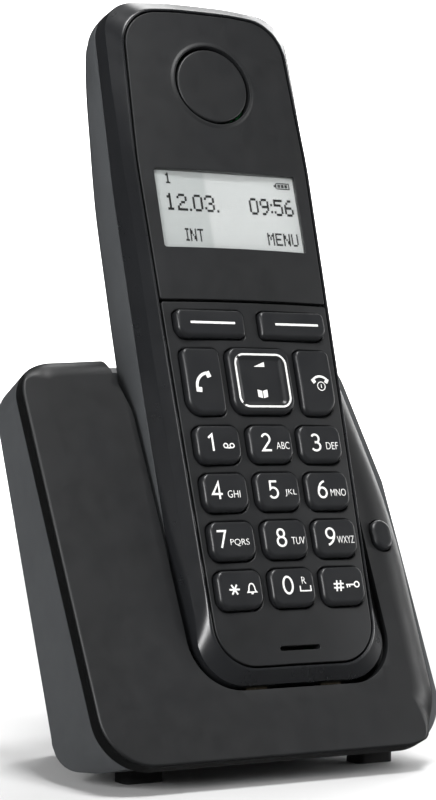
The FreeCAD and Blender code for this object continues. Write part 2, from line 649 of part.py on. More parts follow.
def make_base_electronics():
    """Board, switch, aerials, charging springs and the two sockets."""
    board = block("base_board", (42.4, 27, 1.6), (-15.0, -2.0, 8.2))
    publish("base_pcb", board)
    place = face_placement()
    switch = block("switch_body", (4.8, 4.8, 3.7), (32.8, 51.4, -9.0))
    carrier = block("switch_carrier", (6.4, 12.0, 1.0), (32.8, 47.8, -9.9))
    publish("page_switch", combine("Fuse", "switch", [switch, carrier]), place)
    line = block("line_shell", (13.0, 14, 10.6), (-13.5, 12.3, 9.85))
    line_room = block("line_room", (9.8, 12, 7.2), (-11.9, 15, 11.6))
    publish("line_socket", combine("Cut", "line", [line, line_room]))
    power = block("power_shell", (11.0, 14, 9.4), (9.5, 12.3, 9.85))
    power_room = block("power_room", (7.8, 12, 6.2), (11.1, 15, 11.5))
    publish("power_socket", combine("Cut", "power", [power, power_room]))
    loops = [block("base_aerial_%d" % i, (11, 0.4, 8.0), (x, 2.0, 9.85)) for i, x in enumerate((-13, 14))]
    arms = [block("base_aerial_arm_%d" % i, (0.4 + 11, 4.0, 0.4), (x, 2.0, 17.45))
            for i, x in enumerate((-13, 14))]
    publish("base_antennas", combine("Fuse", "base_aerials", loops + arms))
    springs = []
    for side in (-1, 1):
        low = side * 9 - 1.8
        springs += [block("spring_leg_%d" % side, (3.6, 1.5, 0.45), (low, -50.0, -7.9)),
                    block("spring_foot_%d" % side, (3.6, 0.45, 4.1), (low, -50.0, -11.5)),
                    rod("spring_tip_%d" % side, 0.5, 0, 3.6, (low, -48.5, -7.45), V(1, 0, 0))]
    publish("charge_springs", combine("Fuse", "springs", springs), lean_placement())


def make_feet_and_screws():
    """Rubber feet and the screws that hold the underside."""
    spots = [(-24.3, -14.0), (32.0, -14.0), (-16.9, 22.0), (29.4, 22.0)]
    feet = [prism("foot_%d" % i, [box_corners(9, 6, 1.5, x, y)], 0, 2.9)
            for i, (x, y) in enumerate(spots)]
    publish("rubber_feet", combine("Fuse", "feet", feet))
    heads = [rod("base_screw_head_%d" % i, 2.3, 3.0, 4.0, (x, y, 0)) for i, (x, y) in enumerate(BASE_SCREWS)]
    stems = [rod("base_screw_stem_%d" % i, 0.9, 3.9, 11.5, (x, y, 0)) for i, (x, y) in enumerate(BASE_SCREWS)]
    publish("base_screws", combine("Fuse", "base_screw_set", heads + stems))


make_sheet()
make_handset()
make_base_shells()
make_paging_key()
make_base_electronics()
make_feet_and_screws()
doc.recompute()

for item in doc.Objects:
    if "Invalid" in item.State or "Error" in item.State:
        raise RuntimeError("%s is %s" % (item.Label, item.State))
os.makedirs("parts", exist_ok=True)
for node, item in PIECES.items():
    shape = item.Shape
    if shape.isNull() or not shape.isValid():
        raise RuntimeError("bad shape: " + node)
    shape.exportStep("parts/%s.step" % node)
    box = shape.BoundBox
    print("%-22s solids %d vol %9.1f  x %.1f..%.1f y %.1f..%.1f z %.1f..%.1f" % (
        node, len(shape.Solids), shape.Volume, box.XMin, box.XMax, box.YMin, box.YMax, box.ZMin, box.ZMax))
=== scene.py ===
import math

import bmesh
import bpy
import numpy as np
from mathutils import Matrix, Vector
from mathutils.geometry import delaunay_2d_cdt


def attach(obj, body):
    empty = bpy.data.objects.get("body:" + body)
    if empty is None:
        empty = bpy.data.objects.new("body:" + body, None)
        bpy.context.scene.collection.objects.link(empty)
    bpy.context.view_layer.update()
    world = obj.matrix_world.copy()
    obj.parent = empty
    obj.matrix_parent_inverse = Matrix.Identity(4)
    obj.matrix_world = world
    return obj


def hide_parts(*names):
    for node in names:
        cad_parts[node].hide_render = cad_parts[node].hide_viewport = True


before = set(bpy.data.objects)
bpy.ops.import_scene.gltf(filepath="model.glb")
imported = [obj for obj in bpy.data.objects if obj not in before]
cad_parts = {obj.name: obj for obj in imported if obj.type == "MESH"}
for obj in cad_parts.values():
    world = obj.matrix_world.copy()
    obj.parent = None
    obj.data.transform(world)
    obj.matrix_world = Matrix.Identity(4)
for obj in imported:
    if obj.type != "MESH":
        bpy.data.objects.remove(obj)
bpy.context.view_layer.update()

MM = 0.001
LEAN_BACK = 16.776
FACE_LEAN = 24.91
FRONT_RADIUS = 260.0
HANDSET_ZERO = (6.2, -15.75, 65.55)
FACE_ZERO = (0.0, -36.56, 0.0)
PANEL_FLOOR = -2.5
PANEL_LIP = 0.16
PANEL_GAP = 0.22


def stand(lean, zero):
    """Millimetre drawing plane (x right, y up, z out of the front) to the standing object, in metres."""
    turn = Matrix.Rotation(math.radians(90 - lean), 4, "X")
    return Matrix.Scale(MM, 4) @ Matrix.Translation(zero) @ turn


HANDSET = stand(LEAN_BACK, HANDSET_ZERO)
FACE = stand(FACE_LEAN, FACE_ZERO)


def stand_in_scene(name, data):
    """Put a new object that holds a mesh, lettering, light or camera into the scene."""
    piece = bpy.data.objects.new(name, data)
    bpy.context.scene.collection.objects.link(piece)
    return piece


# ------------ finishes
def srgb(code):
    """sRGB hex to a linear colour."""
    parts = [int(code[i:i + 2], 16) / 255 for i in (1, 3, 5)]
    return [c / 12.92 if c <= 0.04045 else ((c + 0.055) / 1.055) ** 2.4 for c in parts] + [1.0]


def add_node(tree, kind, links=None, values=None, **settings):
    """Add one node, set its properties and input values, and link its inputs."""
    node = tree.nodes.new(kind)
    for key, value in settings.items():
        setattr(node, key, value)
    for key, value in (values or {}).items():
        node.inputs[key].default_value = value
    for key, source in (links or {}).items():
        tree.links.new(source, node.inputs[key])
    return node


def new_finish(name):
    """An empty node material, its node tree and coordinates in millimetres."""
    material = bpy.data.materials.new(name)
    material.use_nodes = True
    tree = material.node_tree
    tree.nodes.clear()
    place = add_node(tree, "ShaderNodeTexCoord")
    scaled = add_node(tree, "ShaderNodeVectorMath", {0: place.outputs["Object"]},
                      {1: (1000, 1000, 1000)}, operation="MULTIPLY")
    return material, tree, scaled.outputs[0]


def close_finish(tree, shader):
    add_node(tree, "ShaderNodeOutputMaterial", {"Surface": shader.outputs[0]})


def mottled(tree, where, size, low, high):
    """A noise of a given size in mm, run between two numbers."""
    noise = add_node(tree, "ShaderNodeTexNoise", {"Vector": where},
                     {"Scale": 1.0 / size, "Detail": 3.0, "Roughness": 0.6})
    spread = add_node(tree, "ShaderNodeMapRange", {"Value": noise.outputs["Fac"]},
                      {"From Min": 0.3, "From Max": 0.7, "To Min": low, "To Max": high})
    return spread.outputs["Result"]


def tinted(tree, amount, light, dark):
    """A colour between two tones by a factor."""
    mix = add_node(tree, "ShaderNodeMix", {"Factor": amount}, data_type="RGBA")
    mix.inputs["A"].default_value = srgb(dark)
    mix.inputs["B"].default_value = srgb(light)
    return mix.outputs["Result"]


def moulded_plastic(name, light, dark, grain, relief, rough, ior=1.53):
    """Injection-moulded plastic: spark-eroded grain, faint flow tone and handling shine."""
    material, tree, where = new_finish(name)
    tone = tinted(tree, mottled(tree, where, 14.0, 0.0, 1.0), light, dark)
    shine = mottled(tree, where, 5.0, rough - 0.035, rough + 0.035)
    fine = add_node(tree, "ShaderNodeTexNoise", {"Vector": where},
                    {"Scale": 1.0 / grain, "Detail": 2.0, "Roughness": 0.55})
    bump = add_node(tree, "ShaderNodeBump", {"Height": fine.outputs["Fac"]},
                    {"Strength": 1.0, "Distance": relief * MM})
    shader = add_node(tree, "ShaderNodeBsdfPrincipled",
                      {"Base Color": tone, "Roughness": shine, "Normal": bump.outputs["Normal"]},
                      {"IOR": ior})
    close_finish(tree, shader)
    return material


def bare_metal(name, light, dark, streak, rough):
    """Drawn or stamped metal with fine lines along its length."""
    material, tree, where = new_finish(name)
    squeezed = add_node(tree, "ShaderNodeVectorMath", {0: where}, {1: (1.0, 1.0, 0.08)},
                        operation="MULTIPLY")
    lines = mottled(tree, squeezed.outputs[0], streak, 0.0, 1.0)
    tone = tinted(tree, lines, light, dark)
    shine = mottled(tree, squeezed.outputs[0], streak, rough - 0.05, rough + 0.08)
    shader = add_node(tree, "ShaderNodeBsdfPrincipled", {"Base Color": tone, "Roughness": shine},
                      {"Metallic": 1.0})
    close_finish(tree, shader)
    return material


def clear_acrylic(name):
    """Cast acrylic window: nearly clear, polished, with a trace of smoke."""
    material, tree, where = new_finish(name)
    smear = mottled(tree, where, 6.0, 0.02, 0.06)
    gloss = add_node(tree, "ShaderNodeBsdfPrincipled", {"Roughness": smear},
                     {"Base Color": srgb("#F2F5F5"), "IOR": 1.49, "Transmission Weight": 1.0,
                      "Alpha": 0.12})
    close_finish(tree, gloss)
    return material


def liquid_crystal_glass(name):
    """Reflective display cell: silvery film with a painted reflection, slightly darker towards the left,
    and a faint speckle.
    """
    material, tree, where = new_finish(name)
    # Painted reflection: the film runs from a darker grey on the left to a lighter grey on the right.
    parts = add_node(tree, "ShaderNodeSeparateXYZ", {"Vector": where})
    side = add_node(tree, "ShaderNodeMapRange", {"Value": parts.outputs["X"]},
                    {"From Min": 0.6, "From Max": 1.6})
    painted_reflection_step = tinted(tree, side.outputs["Result"], "#C1C4C3", "#AFB3B2")
    speckle = mottled(tree, where, 0.25, 0.0, 0.06)
    tone = add_node(tree, "ShaderNodeMix", {"Factor": speckle, "A": painted_reflection_step}, data_type="RGBA")
    tone.inputs["B"].default_value = srgb("#8E9391")
    shader = add_node(tree, "ShaderNodeBsdfPrincipled", {"Base Color": tone.outputs["Result"]},
                      {"Roughness": 0.35, "IOR": 1.5})
    close_finish(tree, shader)
    return material


def printed_ink(name, light, dark, rough):
    """Pad-printed ink with slightly uneven cover."""
    material, tree, where = new_finish(name)
    tone = tinted(tree, mottled(tree, where, 0.6, 0.0, 1.0), light, dark)
    shader = add_node(tree, "ShaderNodeBsdfPrincipled", {"Base Color": tone},
                      {"Roughness": rough, "IOR": 1.48})
    close_finish(tree, shader)
    return material


def circuit_laminate(name):
    """Glass-epoxy board: green solder mask over copper tracks."""
    material, tree, where = new_finish(name)
    tracks = add_node(tree, "ShaderNodeTexBrick", {"Vector": where},
                      {"Scale": 0.35, "Mortar Size": 0.03, "Color1": srgb("#1C5A34"),
                       "Color2": srgb("#1A5230"), "Mortar": srgb("#2F7A48")})
    shader = add_node(tree, "ShaderNodeBsdfPrincipled", {"Base Color": tracks.outputs["Color"]},
                      {"Roughness": 0.3, "IOR": 1.55})
    close_finish(tree, shader)
    return material


# Spark-eroded grain scatters light: the shells look greyer and softer than the front.
SHELL_ABS = moulded_plastic("textured ABS shell", "#494B4D", "#444648", 0.22, 0.020, 0.50)
# Nearly smooth: the facet carries a clear, soft-edged highlight.
FRAME_ABS = moulded_plastic("satin ABS frame", "#202123", "#1C1D1F", 0.18, 0.004, 0.30)
# Fine satin: broad faces of even near-black with a dim sheen.
PANEL_ABS = moulded_plastic("satin ABS keypad panel", "#1B1C1E", "#191A1B", 0.20, 0.010, 0.46)
COVER_ABS = moulded_plastic("satin ABS base cover", "#17181A", "#151617", 0.20, 0.012, 0.48)
# Polished mould wall: a black band with sharp, narrow reflections.
EDGE_ABS = moulded_plastic("polished ABS edge", "#0C0C0D", "#090A0A", 0.6, 0.002, 0.09)
# Coarse grain that keeps the cradle dull where light falls into it.
POCKET_ABS = moulded_plastic("textured ABS pocket", "#2A2B2C", "#252627", 0.25, 0.020, 0.52)
# Lacquered: glossier than the panel, so rounded edges catch light.
KEY_PLASTIC = moulded_plastic("painted key cap plastic", "#202123", "#1D1E20", 0.16, 0.006, 0.38)
# Dull black with a faint fibre mottle.
BLACK_RESIN = moulded_plastic("black glass-filled nylon", "#141415", "#0F0F10", 0.3, 0.015, 0.45)
# Milky grey with no clear highlight.
SILICONE = moulded_plastic("translucent silicone rubber", "#5C5D5F", "#535456", 0.8, 0.010, 0.55, 1.41)
# Pale film, smooth enough for soft glints over its domes.
FOIL = moulded_plastic("polyester dome foil", "#C9C8BE", "#BDBBAF", 1.2, 0.004, 0.28, 1.6)
# Matt black that drinks the light under the base.
FOOT_RUBBER = moulded_plastic("ribbed foot rubber", "#1A1A1A", "#141414", 0.5, 0.050, 0.80, 1.52)
# Glossy coloured film drawn tight over a cell.
CELL_SLEEVE = moulded_plastic("shrink sleeve on a cell", "#2C6B5A", "#265E50", 2.0, 0.006, 0.22)
# Warm, bright spring metal with fine rolling lines.
BRONZE = bare_metal("nickel-plated spring bronze", "#D9CDB4", "#BFB193", 0.25, 0.22)
# Cool bright screws, then duller, greyer speaker cans.
STEEL = bare_metal("zinc-plated steel", "#B9BBBD", "#9A9C9E", 0.3, 0.30)
SPEAKER_STEEL = bare_metal("stamped speaker steel", "#8B8C8E", "#707173", 0.4, 0.35)
# Almost invisible over the display, but for its sharp reflections.
ACRYLIC = clear_acrylic("cast acrylic window")
# Silvery grey film with a painted reflection across it, and flat dark marks standing on it.
DISPLAY = liquid_crystal_glass("liquid crystal glass")
SEGMENTS = printed_ink("dark liquid crystal segments", "#1A1C1B", "#161818", 0.4)
# Opaque and slightly warm: crisp legends without gloss.
WHITE_INK = printed_ink("white pad-printed ink", "#F4F4F2", "#E9E9E6", 0.5)
# Glossy green crossed by fine, paler lines.
BOARD = circuit_laminate("glass-epoxy circuit board")


# ------------ outlines
def mirrored(right_side):
    """Close an outline given its right-hand corners (x, y, radius) from bottom to top."""
    return right_side + [(-x, y, r) for x, y, r in reversed(right_side)]


def box_outline(wide, tall, radius, x=0.0, y=0.0):
    """Corners of a rounded rectangle; radius is one number or one per corner from low left."""
    radii = radius if isinstance(radius, tuple) else (radius,) * 4
    a, b = wide / 2, tall / 2
    spots = [(x - a, y - b), (x + a, y - b), (x + a, y + b), (x - a, y + b)]
    return [(px, py, r) for (px, py), r in zip(spots, radii)]


def grown(corners, by):
    """Move every side of a counter-clockwise outline outwards."""
    moved = []
    for i, (x, y, radius) in enumerate(corners):
        here = Vector((x, y))
        first = (here - Vector(corners[i - 1][:2])).normalized()
        second = (Vector(corners[(i + 1) % len(corners)][:2]) - here).normalized()
        out_first, out_second = Vector((first.y, -first.x)), Vector((second.y, -second.x))
        slide = (out_first + out_second) * (by / (1 + out_first.dot(out_second)))
        moved.append((x + slide.x, y + slide.y, max(radius + by, 0.25 if radius else 0.0)))
    return moved


def drawn(corners):
    """Dense points along an outline whose corners are rounded."""
    points = []
    for i, (x, y, radius) in enumerate(corners):
        here = Vector((x, y))
        back = (Vector(corners[i - 1][:2]) - here).normalized()
        ahead = (Vector(corners[(i + 1) % len(corners)][:2]) - here).normalized()
        half = back.angle(ahead) / 2
        if radius < 0.02 or half > math.pi / 2 - 1e-4:
            points.append(here)
            continue
        centre = here + (back + ahead).normalized() * (radius / math.sin(half))
        start = here + back * (radius / math.tan(half)) - centre
        bend = back.y * ahead.x - back.x * ahead.y
        sweep = math.copysign(math.pi - 2 * half, bend)
        for k in range(25):
            points.append(centre + Matrix.Rotation(sweep * k / 24, 2) @ start)
    return points


def traced(corners, count):
    """Evenly spaced points and outward directions around an outline, from its lowest middle."""
    path = np.array([tuple(p) for p in drawn(corners)])
    middle = (path[:, 0].min() + path[:, 0].max()) / 2
    following = np.roll(path, -1, 0)
    crossing = np.flatnonzero((path[:, 0] <= middle) & (following[:, 0] > middle))
    i = min(crossing, key=lambda k: path[k, 1])
    t = (middle - path[i, 0]) / (following[i, 0] - path[i, 0])
    start = path[i] + (following[i] - path[i]) * t
    path = np.concatenate([[start], path[i + 1:], path[:i + 1], [start]])
    along = np.concatenate([[0], np.cumsum(np.hypot(*np.diff(path, axis=0).T))])
    marks = np.linspace(0, along[-1], count, endpoint=False)
    spots = np.stack([np.interp(marks, along, path[:, k]) for k in (0, 1)], 1)
    tangent = np.roll(spots, -1, 0) - np.roll(spots, 1, 0)
    tangent /= np.linalg.norm(tangent, axis=1)[:, None]
    return spots, np.stack([tangent[:, 1], -tangent[:, 0]], 1)


def circle(radius, x, y, count):
    """Points and outward directions of a circle."""
    turn = np.linspace(0, 2 * math.pi, count, endpoint=False) - math.pi / 2
    out = np.stack([np.cos(turn), np.sin(turn)], 1)
    return out * radius + np.array([x, y]), out


def inside(spots, loops):
    """Even-odd test of points against closed loops."""
    result = np.zeros(len(spots), bool)
    x, y = spots[:, 0], spots[:, 1]
    for loop in loops:
        for (x1, y1), (x2, y2) in zip(loop, np.roll(loop, -1, 0)):
            crosses = (y1 > y) != (y2 > y)
            if crosses.any():
                at = x1 + (y - y1) / (y2 - y1 if y2 != y1 else 1e-12) * (x2 - x1)
                result ^= crosses & (x < at)
    return result


def enclosed(triangles, inner):
    """Triangles reached from the left of the directed border edges without crossing a border."""
    owner = {}
    for k, triangle in enumerate(triangles):
        for i in range(3):
            owner[triangle[i], triangle[(i + 1) % 3]] = k
    waiting = [owner[edge] for edge in inner if edge in owner]
    kept = set(waiting)
    while waiting:
        triangle = triangles[waiting.pop()]
        for i in range(3):
            edge = (triangle[i], triangle[(i + 1) % 3])
            across = owner.get(edge[::-1])
            border = edge in inner or edge[::-1] in inner
            if not border and across is not None and across not in kept:
                kept.add(across)
                waiting.append(across)
    return [triangles[k] for k in sorted(kept)]


# ------------ building pieces
class Skin:
    """Points and faces of one closed piece, drawn in millimetres."""

    def __init__(self):
        self.points = []
        self.faces = []

    def row(self, flat, heights):
        """Add a closed row of points; heights is one number or one per point."""
        start = len(self.points)
        heights = np.broadcast_to(heights, (len(flat),))
        self.points += [(x, y, z) for (x, y), z in zip(flat, heights)]
        return list(range(start, start + len(flat)))

    def band(self, first, second):
        """Join two rows of equal length with quads."""
        count = len(first)
        for i in range(count):
            j = (i + 1) % count
            self.faces.append((first[i], first[j], second[j], second[i]))

    def bands(self, rows):
        for first, second in zip(rows, rows[1:]):
            self.band(first, second)

    def fill(self, rows, height=None, spacing=0.0):
        """Span an outer row and any hole rows; height(x, y) places added inner points."""
        loops = [np.array([self.points[i][:2] for i in row]) for row in rows]
        index = [i for row in rows for i in row]
        flat = [Vector(p) for loop in loops for p in loop]
        edges = []
        start = 0
        for loop in loops:
            edges += [(start + i, start + (i + 1) % len(loop)) for i in range(len(loop))]
            start += len(loop)
        if spacing:
            low, high = loops[0].min(0), loops[0].max(0)
            xs = np.arange(low[0] + spacing / 2, high[0], spacing)
            ys = np.arange(low[1] + spacing / 2, high[1], spacing)
            grid = np.stack(np.meshgrid(xs, ys), -1).reshape(-1, 2)
            grid = grid[inside(grid, loops)]
            rim = np.concatenate(loops)
            gaps = np.array([np.min(np.hypot(*(rim - g).T)) for g in grid])
            grid = grid[gaps > 0.55 * spacing]
            heights = height(grid[:, 0], grid[:, 1])
            index += self.row(grid, heights)
            flat += [Vector(g) for g in grid]
        _, _, faces, origin, _, _ = delaunay_2d_cdt(flat, edges, [], 0, 1e-6)
        triangles = [tuple(origin[i][0] for i in face) for face in faces]
        inner = set(edges[:len(loops[0])]) | {(b, a) for a, b in edges[len(loops[0]):]}
        for triangle in enclosed(triangles, inner):
            self.faces.append(tuple(index[i] for i in triangle))

    def close(self, rows, height=None, spacing=0.0):
        """Join rows from bottom to top and fill both ends, the top one as `fill` does."""
        self.bands(rows)
        self.fill([rows[0]])
        self.fill([rows[-1]], height, spacing)

    def make(self, name, place, sharp=38.0):
        """Turn the drawing into a smooth-shaded object standing where `place` puts it."""
        mesh = bpy.data.meshes.new(name)
        mesh.from_pydata(self.points, [], self.faces)
        mesh.transform(place)
        tidy_mesh(mesh)
        shade_smooth(mesh, sharp)
        return stand_in_scene(name, mesh)


def shade_smooth(mesh, sharp):
    """Shade a mesh smooth, with edges sharper than an angle kept hard."""
    mesh.polygons.foreach_set("use_smooth", [True] * len(mesh.polygons))
    mesh.set_sharp_from_angle(angle=math.radians(sharp))


def tidy_mesh(mesh):
    """Weld doubled points and turn every face outwards."""
    work = bmesh.new()
    work.from_mesh(mesh)
    bmesh.ops.remove_doubles(work, verts=work.verts, dist=1e-7)
    bmesh.ops.recalc_face_normals(work, faces=work.faces)
    if work.calc_volume(signed=True) < 0:
        bmesh.ops.reverse_faces(work, faces=work.faces)
    work.to_mesh(mesh)
    work.free()


def belong(piece, body, slot, finish, *replaced):
    """Seat a piece on its body with its finish, standing for CAD nodes."""
    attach(piece, body)
    if finish is not None:
        piece.data.materials.clear()
        piece.data.materials.append(finish)
    if replaced:
        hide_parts(*replaced)
    return piece


def lip(radius, steps=5, support=0.25):
    """Offsets (inwards, down) of a rounded edge, starting with a supporting row on the face."""
    rows = [(radius + support, 0.0)]
    for k in range(steps + 1):
        angle = math.pi / 2 * k / steps
        rows.append((radius * (1 - math.sin(angle)), radius * (1 - math.cos(angle))))
    return rows


def panel_skin(rim, rim_lip, holes, height, floor, spacing):
    """A plate with a rounded rim and rounded holes; each hole is (trace, lip radius)."""
    skin = Skin()
    tops, bottoms = [], []
    for (spots, out), radius, sign in [(rim, rim_lip, 1)] + [(t, r, -1) for t, r in holes]:
        rows = []
        for inward, down in radius if isinstance(radius, list) else lip(radius, support=0.12):
            at = spots - out * inward * sign
            rows.append(skin.row(at, height(at[:, 0], at[:, 1]) - down))
        rows.append(skin.row(spots, floor))
        skin.bands(rows)
        tops.append(rows[0])
        bottoms.append(rows[-1])
    skin.fill(tops, height, spacing)
    skin.fill(bottoms)
    return skin


def front_height(x, y=0.0):
    """The gently convex front of the handset."""
    return np.sqrt(FRONT_RADIUS ** 2 - np.square(x)) - FRONT_RADIUS


# ------------ handset shells
OUTER = mirrored([(22.6, -47.4, 10.5), (24.0, 20, 200), (24.4, 62, 150), (23.3, 106.4, 8.4),
                  (8, 107.4, 60)])
FASCIA = mirrored([(18.9, -43.8, 9.0), (20.2, 13, 150), (21.3, 68, 120), (19.9, 102.8, 9.0),
                   (7, 103.7, 60)])
BACK = [(-55, -20.2), (-30, -22.6), (-5, -23.6), (20, -23.9), (42, -23.7), (76, -22.3), (97, -19.7),
        (105, -17.0), (113, -12.0)]
FACET_DEEP = 2.9
BACK_ROUND = 7.9
SHELL_WALL = 1.5
PARTING = -8.2
GROOVE_FLOOR = -2.7
FRAME_BACK = -4.2
FRAME_WALL = 1.7
BROW = 0.4
BROW_DROP = 0.05
AROUND = 480


def back_height(y):
    """Depth of the handset's back along its length, as a smooth curve."""
    knots = np.array(BACK)
    slope = np.gradient(knots[:, 1], knots[:, 0])
    i = np.clip(np.searchsorted(knots[:, 0], y) - 1, 0, len(knots) - 2)
    x0, x1 = knots[i, 0], knots[i + 1, 0]
    t = (y - x0) / (x1 - x0)
    span = x1 - x0
    return ((2 * t ** 3 - 3 * t ** 2 + 1) * knots[i, 1] + (t ** 3 - 2 * t ** 2 + t) * span * slope[i]
            + (3 * t ** 2 - 2 * t ** 3) * knots[i + 1, 1] + (t ** 3 - t ** 2) * span * slope[i + 1])


def make_front_frame():
    """Rim around the fascia: a crisp slanted facet, then a slightly drafted wall to the parting line."""
    outer, out = traced(OUTER, AROUND)
    groove, _ = traced(grown(FASCIA, PANEL_GAP), AROUND)
    ledge, _ = traced(grown(FASCIA, -0.9), AROUND)
    rise = np.clip((outer[:, 1] - 52) / 38, 0, 1)
    sink = np.clip((-30 - outer[:, 1]) / 12, 0, 1)
    rise, sink = (t * t * (3 - 2 * t) for t in (rise, sink))
    foot = outer - out * (1.35 - 1.05 * rise - 1.15 * sink)[:, None]
    deep = FACET_DEEP - 1.1 * sink
    front = front_height(groove[:, 0])
    skin = Skin()
    rows = [skin.row(groove, GROOVE_FLOOR), skin.row(groove, front - 0.22),
            skin.row(groove + out * 0.05, front - 0.08)]
    rows += [skin.row(groove + out * outward, front - down)
             for outward, down in ((0.14, 0.04), (BROW, BROW_DROP))]
    brow = groove + out * BROW
    for share in (0.05, 0.12, 0.5, 0.92, 0.98):
        rows.append(skin.row(brow + (foot - brow) * share,
                             front - BROW_DROP - deep * max(0, share - 0.02)))
    start = front - BROW_DROP - deep
    for share in (0.06, 0.5, 0.95):
        rows.append(skin.row(foot + (outer - foot) * share, start + (PARTING + 0.3 - start) * share))
    for depth, inward in ((PARTING + 0.22, 0.02), (PARTING + 0.06, 0.10), (PARTING, 0.3),
                          (PARTING, FRAME_WALL), (FRAME_BACK, FRAME_WALL)):
        rows.append(skin.row(outer - out * inward, depth))
    rows += [skin.row(ledge, FRAME_BACK), skin.row(ledge, GROOVE_FLOOR), rows[0]]
    skin.bands(rows)
    belong(skin.make("handset_frame", HANDSET, 25.0), "handset", "shell_abs", FRAME_ABS,
           "handset_front_frame")


def back_skin(inset, first_depth):
    """The rear shell's outer surface, moved inwards by `inset`, as rows and the last row."""
    outer, out = traced(OUTER, AROUND)
    base = back_height(outer[:, 1]) + inset
    rows = [(outer - out * (0.3 + inset), np.full(AROUND, first_depth)),
            (outer - out * (0.08 + inset), np.full(AROUND, first_depth - 0.08)),
            (outer - out * inset, np.full(AROUND, first_depth - 0.3))]
    start = np.minimum(base + BACK_ROUND, first_depth - 1.2)
    for k in range(15):
        angle = math.pi / 2 * k / 14
        depth = base + (start - base) * (1 - math.sin(angle))
        inward = inset + BACK_ROUND * (1 - math.cos(angle))
        fade = np.clip((outer[:, 1] + 30) / 60, 0.15, 1)
        flute = 0.22 * fade * np.exp(-((depth + 13.4) / 0.9) ** 2) * math.cos(angle)
        at = outer - out * (inward + flute)[:, None]
        rows.append((at, np.maximum(depth, back_height(at[:, 1]) + inset)))
    return rows


def cut_box(mesh, limits, keep_inside):
    """Split a skin with planes; each limit is (axis, value, side)."""
    work = bmesh.new()
    work.from_mesh(mesh)
    for axis, value, _ in limits:
        normal = Matrix.Identity(3)[axis]
        bmesh.ops.bisect_plane(work, geom=work.verts[:] + work.edges[:] + work.faces[:],
                               plane_co=normal * value, plane_no=normal, dist=1e-6)
    doomed = []
    for face in work.faces:
        centre = face.calc_center_median()
        within = all((centre[axis] - value) * side > 0 for axis, value, side in limits)
        if within != keep_inside:
            doomed.append(face)
    bmesh.ops.delete(work, geom=doomed, context="FACES")
    work.to_mesh(mesh)
    work.free()


def make_back_piece(name, limits, keep_inside, node, holes=()):
    """Rear shell or battery cover: part of the back skin, thickened inwards."""
    skin = Skin()
    rows = [skin.row(at, depth) for at, depth in back_skin(0.0, PARTING - 0.1)]
    skin.bands(rows)
    skin.fill([rows[-1]], lambda x, y: back_height(y), 1.6)
    mesh = bpy.data.meshes.new(name)
    mesh.from_pydata(skin.points, [], skin.faces)
    tidy_mesh(mesh)
    cut_box(mesh, limits, keep_inside)
    mesh.transform(HANDSET)
    piece = stand_in_scene(name, mesh)
    wall = piece.modifiers.new("wall", "SOLIDIFY")
    wall.thickness = SHELL_WALL * MM
    wall.offset = -1.0
    wall.use_even_offset = True
    for tool in holes:
        carve(piece, tool)
    bake_modifiers(piece, 35.0)
    belong(piece, "battery_cover" if keep_inside else "handset", "shell_abs", SHELL_ABS, node)


def carve(piece, tool):
    """Cut a tool object out of a piece."""
    layer = piece.modifiers.new("carve", "BOOLEAN")
    layer.operation = "DIFFERENCE"
    layer.solver = "MANIFOLD"
    layer.object = tool


def finished_mesh(piece):
    """The mesh that an object shows, with its modifiers or lettering worked out."""
    seen = bpy.context.evaluated_depsgraph_get()
    seen.update()
    return bpy.data.meshes.new_from_object(piece.evaluated_get(seen))


def bake_modifiers(piece, sharp):
    """Apply a piece's modifiers and shade it smooth with its hard edges kept."""
    mesh = finished_mesh(piece)
    piece.modifiers.clear()
    piece.data = mesh
    shade_smooth(mesh, sharp)


def prism_tool(name, corners, low, high, place, count=120):
    """A closed column used only for carving."""
    skin = Skin()
    spots, _ = traced(corners, count)
    skin.close([skin.row(spots, low), skin.row(spots, high)])
    return skin.make(name, place)


def discard(tools):
    """Remove carving tools once they have been used."""
    for tool in tools:
        bpy.data.objects.remove(tool)


RINGER_SLOT = (11, 1.1)
RINGER_V = 62.75
RINGER_STEP = 2.4
WELL_U = 19.1
WELL_V = 24
TOOL_LOW = -30


def make_back():
    """Rear shell with ringer slots and screw wells, and the battery cover set into it."""
    slots = [prism_tool("slot_%d" % i, box_outline(*RINGER_SLOT, 0.5, 0, RINGER_V + RINGER_STEP * i),
                        TOOL_LOW, -12, HANDSET, 40) for i in range(4)]
    wells = [prism_tool("well_%d" % i, box_outline(5.6, 5.6, 2.75, x, WELL_V), TOOL_LOW, -15.6, HANDSET, 48)
             for i, x in enumerate((-WELL_U, WELL_U))]
    opening = [(0, -15.45, 1), (0, 15.45, -1), (1, 18.1, -1), (2, -15.35, -1)]
    make_back_piece("handset_back", opening, False, "handset_rear_shell", slots + wells)
    lid = [(0, -15.25, 1), (0, 15.25, -1), (1, 17.85, -1), (2, -15.55, -1)]
    make_back_piece("battery_lid", lid, True, "battery_cover")
    discard(slots + wells)


# ------------ fascia, window and ear
EAR_V = 86.3
WINDOW_V = 56.65
WINDOW = (35.4, 18.1)
CELL_FRONT = -1.36
EAR_BEAD = [(1.1, 0.0), (1.0, -0.01), (0.72, -0.09), (0.42, -0.18), (0.2, -0.21), (0.06, -0.17),
            (0.0, -0.06)]


def crowned_plate(name, trace, low, drop, edge, spacing):
    """A closed plate whose top follows the front, `drop` below it."""
    spots, out = trace
    skin = Skin()
    rows = [skin.row(spots, low)]
    for inward, down in reversed(edge):
        at = spots - out * inward
        rows.append(skin.row(at, front_height(at[:, 0]) - drop - down))
    skin.close(rows, lambda x, y: front_height(x) - drop, spacing)
    return skin.make(name, HANDSET)


